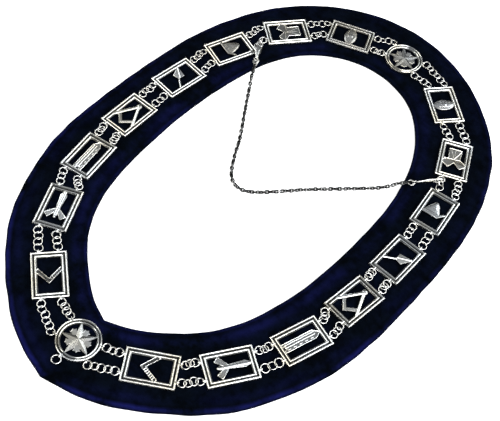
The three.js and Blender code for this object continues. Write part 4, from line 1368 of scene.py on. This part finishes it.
@dataclass
class Clasp:
    """A closed lobster clasp along +x: the wire that it holds passes its hook at the origin."""

    length: float = 26.0
    wide: float = 6.2
    thick: float = 1.6
    hole_length: float = 5.4
    hole_wide: float = 3.0
    rim: float = 1.2
    eye: float = 3.0
    eye_wall: float = 0.8

    def __post_init__(self) -> None:
        """Works out where the tip and the eye are."""
        self.tip = -(self.rim + self.hole_length / 2)
        self.eye_along = self.tip + self.length - self.eye_wall - self.eye / 2

    def mesh(self) -> Gathered:
        """Builds the clasp in its own frame.

        The hook is an elliptic wire carried round an egg-shaped loop. The body is a run of ellipses
        whose half width follows a short table, and the eye is a round ring. A small lever stands
        out beside the hook.

        Returns:
            The clasp.
        """
        mesh = Gathered()
        angle = round_angles(40)
        half_long = (self.hole_length + self.rim) / 2
        half_wide = (self.hole_wide + self.wide) / 4
        egg = half_wide * np.sin(angle) * (1 + 0.08 * np.cos(angle))
        line = np.column_stack([half_long * np.cos(angle), egg, 0 * angle])
        wire = 0.5 * self.rim + 0.22 * (1 + np.cos(angle)) / 2 + 0.16 * np.abs(np.sin(angle))
        mesh.grid(swept(line, wire, self.thick / 2 * 1.02, UP, 14, True), True)
        along = 2.9 + (self.eye_along - 4.6) * np.array([0, 0.05, 0.17, 0.34, 0.5, 0.66, 0.8, 0.92, 1])
        half = np.array([1.9, 2.75, 3.0, 2.95, 2.6, 2.1, 1.6, 1.2, 0.7])
        body = np.column_stack([along, -0.12 * np.sin((along - 3) / 4), 0 * along])
        height = self.thick / 2 * np.array([0.75, 1.0, 1.12, 1.15, 1.12, 1.05, 1.0, 0.95, 0.7])
        mesh.grid(swept(body, half, height, UP, 22, False), False)
        eye = ring_shell((self.eye + self.eye_wall) / 2, self.eye_wall, 24, 10)
        mesh.grid(eye + self.eye_along * towards(0.0), True)
        lever = np.array([[3.4, -2.2, 0.1], [2.2, -2.9, 0.15], [0.9, -3.1, 0.1], [-0.4, -2.95, 0.0]])
        lever_half = np.array([0.8, 0.75, 0.6, 0.3])
        # A little painted shade on the lever.
        mesh.grid(swept(lever, lever_half, 0.5, UP, 10, False), False, 0.2)
        return mesh


@dataclass
class SafetyChain:
    """The two clasps and the thin chain between them, with its end rings."""

    plan: Plan
    strands: Strands
    finish: bpy.types.Material
    chain_finish: bpy.types.Material
    floor_gap: float = 0.1
    end_outer: float = 5.8
    end_wire: float = 0.8
    link_length: float = 4.7
    link_wide: float = 3.5
    link_wire: float = 1.15
    link_turn: float = 68.0
    link_steps: int = 22
    link_sides: int = 7
    link_slack: float = 0.06
    length_samples: int = 2000

    # Shares of the collar's length and half width, and the climb towards the band's top in its thickness.
    route: tuple = (
        (0.6867, -0.5463, 1.109), (0.6759, -0.5291, 0.957), (0.6639, -0.506, 0.435),
        (0.6472, -0.4729, 0.065), (0.6142, -0.4074, 0), (0.5534, -0.2851, 0), (0.5141, -0.2183, 0),
        (0.4837, -0.1554, 0), (0.4726, -0.1058, 0), (0.4718, -0.0575, 0), (0.4818, -0.002, 0),
        (0.502, 0.0575, 0), (0.5606, 0.207, 0), (0.6125, 0.3545, 0), (0.6498, 0.4564, 0.065),
        (0.6639, 0.4927, 0.435), (0.6743, 0.5179, 0.957),
    )

    def clasps(self) -> tuple[list[bpy.types.Object], dict[str, Ring]]:
        """Builds both clasps, and the end rings in their eyes.

        Returns:
            The clasps, and the end ring of each side.
        """
        made, ends = [], {}
        clasp = Clasp()
        for side, hold in self.strands.holds.items():
            held = self.strands.held[side].on_wire(hold["held_at"])[0]
            target = self.plan.spot(*self.plan.end_rings[side], SIDES[side])
            heading = heading_of(held, target)
            turn = turned(rx=90 - hold["roll"], ry=hold["slope"], rz=heading)
            mesh = clasp.mesh()
            mesh.move(turn, held)
            piece = mesh.made(f"clasp_{side}_lobster", self.finish, 60)
            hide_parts(f"clasp_{side}")
            made.append(piece)
            level = towards(heading)
            eye = held + level * clasp.eye_along * math.cos(math.radians(hold["slope"]))
            eye[2] -= clasp.eye_along * math.sin(math.radians(hold["slope"]))
            centre = eye + level * (self.end_outer - self.end_wire) / 2
            ends[side] = Ring(centre, heading, hold["end_tilt"], self.end_outer, self.end_wire)
        return made, ends

    def chain(self, ends: dict[str, Ring]) -> bpy.types.Object:
        """Builds the chain.

        Long links stand a fixed step apart along the route, each turned further about it than the
        last, so that every link passes through the next and the chain looks twisted. Each link is
        darkened as a whole by painted shade, by the sine of one and a half times its turn. The end
        rings have the wire's finish.

        Args:
            ends: The end rings.

        Returns:
            The chain, with its end rings.
        """
        plan = self.plan
        tips = {side: ring.on_wire(0.0)[0] for side, ring in ends.items()}
        low = self.link_wide / 2 + self.floor_gap
        rows = [(*plan.spot(a, c), low + climb * plan.thick) for a, c, climb in self.route]
        points = np.array([tips["left"], *rows, tips["right"]])
        fine = through(points, self.length_samples)
        length = float(np.linalg.norm(np.diff(fine, axis=0), axis=1).sum())
        step = self.link_length - 2 * self.link_wire + self.link_slack
        spots = through(points, round(length / step))
        count = len(spots)
        along = np.gradient(spots, axis=0)
        along /= np.linalg.norm(along, axis=1, keepdims=True)
        side_way = np.cross(along, UP)
        side_way /= np.linalg.norm(side_way, axis=1, keepdims=True)
        above = np.cross(side_way, along)
        angle = round_angles(self.link_steps)
        straight = (self.link_length - self.link_wide) / 2
        turn = (self.link_wide - self.link_wire) / 2
        lengthwise = turn * np.cos(angle) + straight * np.sign(np.cos(angle))
        line = np.column_stack([lengthwise, turn * np.sin(angle), 0 * angle])
        link = swept(line, self.link_wire / 2, self.link_wire / 2, UP, self.link_sides, True)
        # Painted shade: each link darkened as a whole by its turn, and its wire on the inner side.
        shade = 1.3 * np.abs(np.sin(np.radians(np.arange(count) * self.link_turn * 1.5))) - 0.1
        wire_shade = 0.6 * inner_side_shade(self.link_sides)
        mesh = Gathered()
        for k in range(count):
            roll = math.radians(k * self.link_turn)
            wide = side_way[k] * math.cos(roll) + above[k] * math.sin(roll)
            basis = np.column_stack([along[k], wide, np.cross(along[k], wide)])
            mesh.grid(link @ basis.T + spots[k], True, (wire_shade + shade[k]).clip(0, 1))
        links = len(mesh.faces)
        for ring in ends.values():
            ring.add(mesh, 24, 9)
        made = mesh.made("safety_chain_links", self.chain_finish, 180)
        made.data.materials.append(self.finish)
        of_rings = (np.arange(len(mesh.faces)) >= links).astype(np.int32)
        made.data.polygons.foreach_set("material_index", of_rings)
        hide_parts("safety_chain")
        return made

    def build(self) -> list[bpy.types.Object]:
        """Builds the clasps and the chain."""
        clasps, ends = self.clasps()
        return [*clasps, self.chain(ends)]


# Studio


@dataclass(frozen=True)
class Light:
    """A soft lamp: its place to the camera's right, towards the camera and up, its sides and its power."""

    name: str
    place: tuple[float, float, float]
    sides: tuple[float, float]
    power: float
    colour: tuple[float, float, float] = (1.0, 1.0, 1.0)


@dataclass
class Studio:
    """White floor, pale surroundings, soft lamps and the camera."""

    azimuth: float = 32.4
    elevation: float = 54.96
    roll: float = 10.96
    away: float = 0.795
    target: tuple[float, float, float] = (0.012, -0.0261, 0.007)
    lens: float = 74.13
    ceiling: float = 0.5
    floor_half: float = 6.0
    floor_height: float = -0.0002

    def camera(self) -> None:
        """Makes the camera: it looks at the target from a bearing and height, rolled about its line."""
        a, e, r = (math.radians(v) for v in (self.azimuth, self.elevation, self.roll))
        forward = Vector((-math.sin(a) * math.cos(e), math.cos(a) * math.cos(e), -math.sin(e)))
        side = Vector((math.cos(a), math.sin(a), 0))
        above = side.cross(forward)
        right = side * math.cos(r) + above * math.sin(r)
        up = above * math.cos(r) - side * math.sin(r)
        data = bpy.data.cameras.new("camera")
        data.sensor_width, data.lens = 36.0, self.lens
        data.clip_start, data.clip_end = 0.01, 50
        camera = bpy.data.objects.new("camera", data)
        bpy.context.scene.collection.objects.link(camera)
        basis = np.column_stack([right, up, -forward])
        camera.rotation_mode = "QUATERNION"
        camera.rotation_quaternion = Matrix(basis.tolist()).to_quaternion()
        camera.location = Vector(self.target) - forward * self.away
        bpy.context.scene.camera = camera

    def floor(self) -> None:
        """Makes the floor."""
        mesh = bpy.data.meshes.new("floor")
        side, height = self.floor_half, self.floor_height
        corners = [(x * side, y * side, height) for x, y in ((-1, -1), (1, -1), (1, 1), (-1, 1))]
        mesh.from_pydata(corners, [], [(0, 1, 2, 3)])
        white = (0.93, 0.93, 0.93, 1)
        glow = {"emission_color": white, "emission_strength": 0.5}
        finish = Finish("white_floor", base_color=white, roughness=0.9, **glow)
        mesh.materials.append(finish.material)
        floor = bpy.data.objects.new("floor", mesh)
        bpy.context.scene.collection.objects.link(floor)

    def lamps(self) -> None:
        """Makes the lamps, each turned to the collar."""
        a = math.radians(self.azimuth)
        near, right = Vector((math.sin(a), -math.cos(a), 0)), Vector((math.cos(a), math.sin(a), 0))
        lights = (
            Light("key", (0.85, 1.5, 1.8), (2.2, 1.7), 96),
            Light("side", (1.95, 0.0, 1.3), (2.3, 1.0), 46, (0.96, 0.98, 1.0)),
            Light("warm", (-1.95, 0.1, 1.3), (2.2, 1.0), 38, (0.98, 0.97, 0.88)),
            Light("cool", (1.15, -1.3, 1.35), (0.6, 0.9), 7, (0.9, 0.96, 1.0)),
            Light("far", (-1.15, -1.3, 1.35), (0.6, 0.9), 8, (0.94, 0.98, 1.0)),
        )
        for light in lights:
            data = bpy.data.lights.new(light.name, "AREA")
            data.shape, data.size, data.size_y = "RECTANGLE", *light.sides
            data.energy, data.color = light.power, light.colour
            lamp = bpy.data.objects.new(light.name, data)
            x, y, z = light.place
            lamp.location = right * x + near * y + Vector((0, 0, z))
            lamp.rotation_mode = "QUATERNION"
            lamp.rotation_quaternion = lamp.location.to_track_quat("Z", "Y")
            bpy.context.scene.collection.objects.link(lamp)

    def world(self) -> None:
        """Makes the surroundings: a grey ceiling over a room that is dark near the floor."""
        world = bpy.data.worlds.new("grey_room")
        world.use_nodes = True
        tree = world.node_tree
        towards = tree.nodes.new("ShaderNodeSeparateXYZ")
        tree.links.new(tree.nodes.new("ShaderNodeTexCoord").outputs["Generated"], towards.inputs[0])
        up = Flow(tree, towards.outputs["Z"])
        glow = self.ceiling * up.between(0.2, 0.95) ** 1.5 + 0.03
        tree.links.new(glow.socket, tree.nodes["Background"].inputs["Strength"])
        tree.nodes["Background"].inputs["Color"].default_value = (0.94, 0.97, 1.0, 1)
        bpy.context.scene.world = world
        bpy.context.scene.view_settings.view_transform = "Standard"

    def build(self) -> None:
        """Builds the studio."""
        self.camera()
        self.floor()
        self.lamps()
        self.world()


def main() -> None:
    """Builds the collar and its studio, and reports each piece."""
    logging.basicConfig(level=logging.INFO, format="%(message)s")
    plan = Plan()
    Studio().build()
    cast = Silver(Tone.CAST, 0.17).material()
    wire = Silver(Tone.WIRE, 0.15).material()
    band = VelvetBand(plan).build(Velvet().material())
    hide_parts("velvet_collar")
    strands = Strands(plan, wire)
    metal = [*Castings(plan, cast).build(), *strands.build(), strands.hanging()]
    metal += SafetyChain(plan, strands, wire, Silver(Tone.CHAIN, 0.15, 210.0).material()).build()
    for piece, slot in [(band, "velvet"), *((piece, "silver_plate") for piece in metal)]:
        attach(piece, "root")
        LOG.info("%s: %d faces", piece.name, len(piece.data.polygons))


if __name__ == "__main__":
    main()
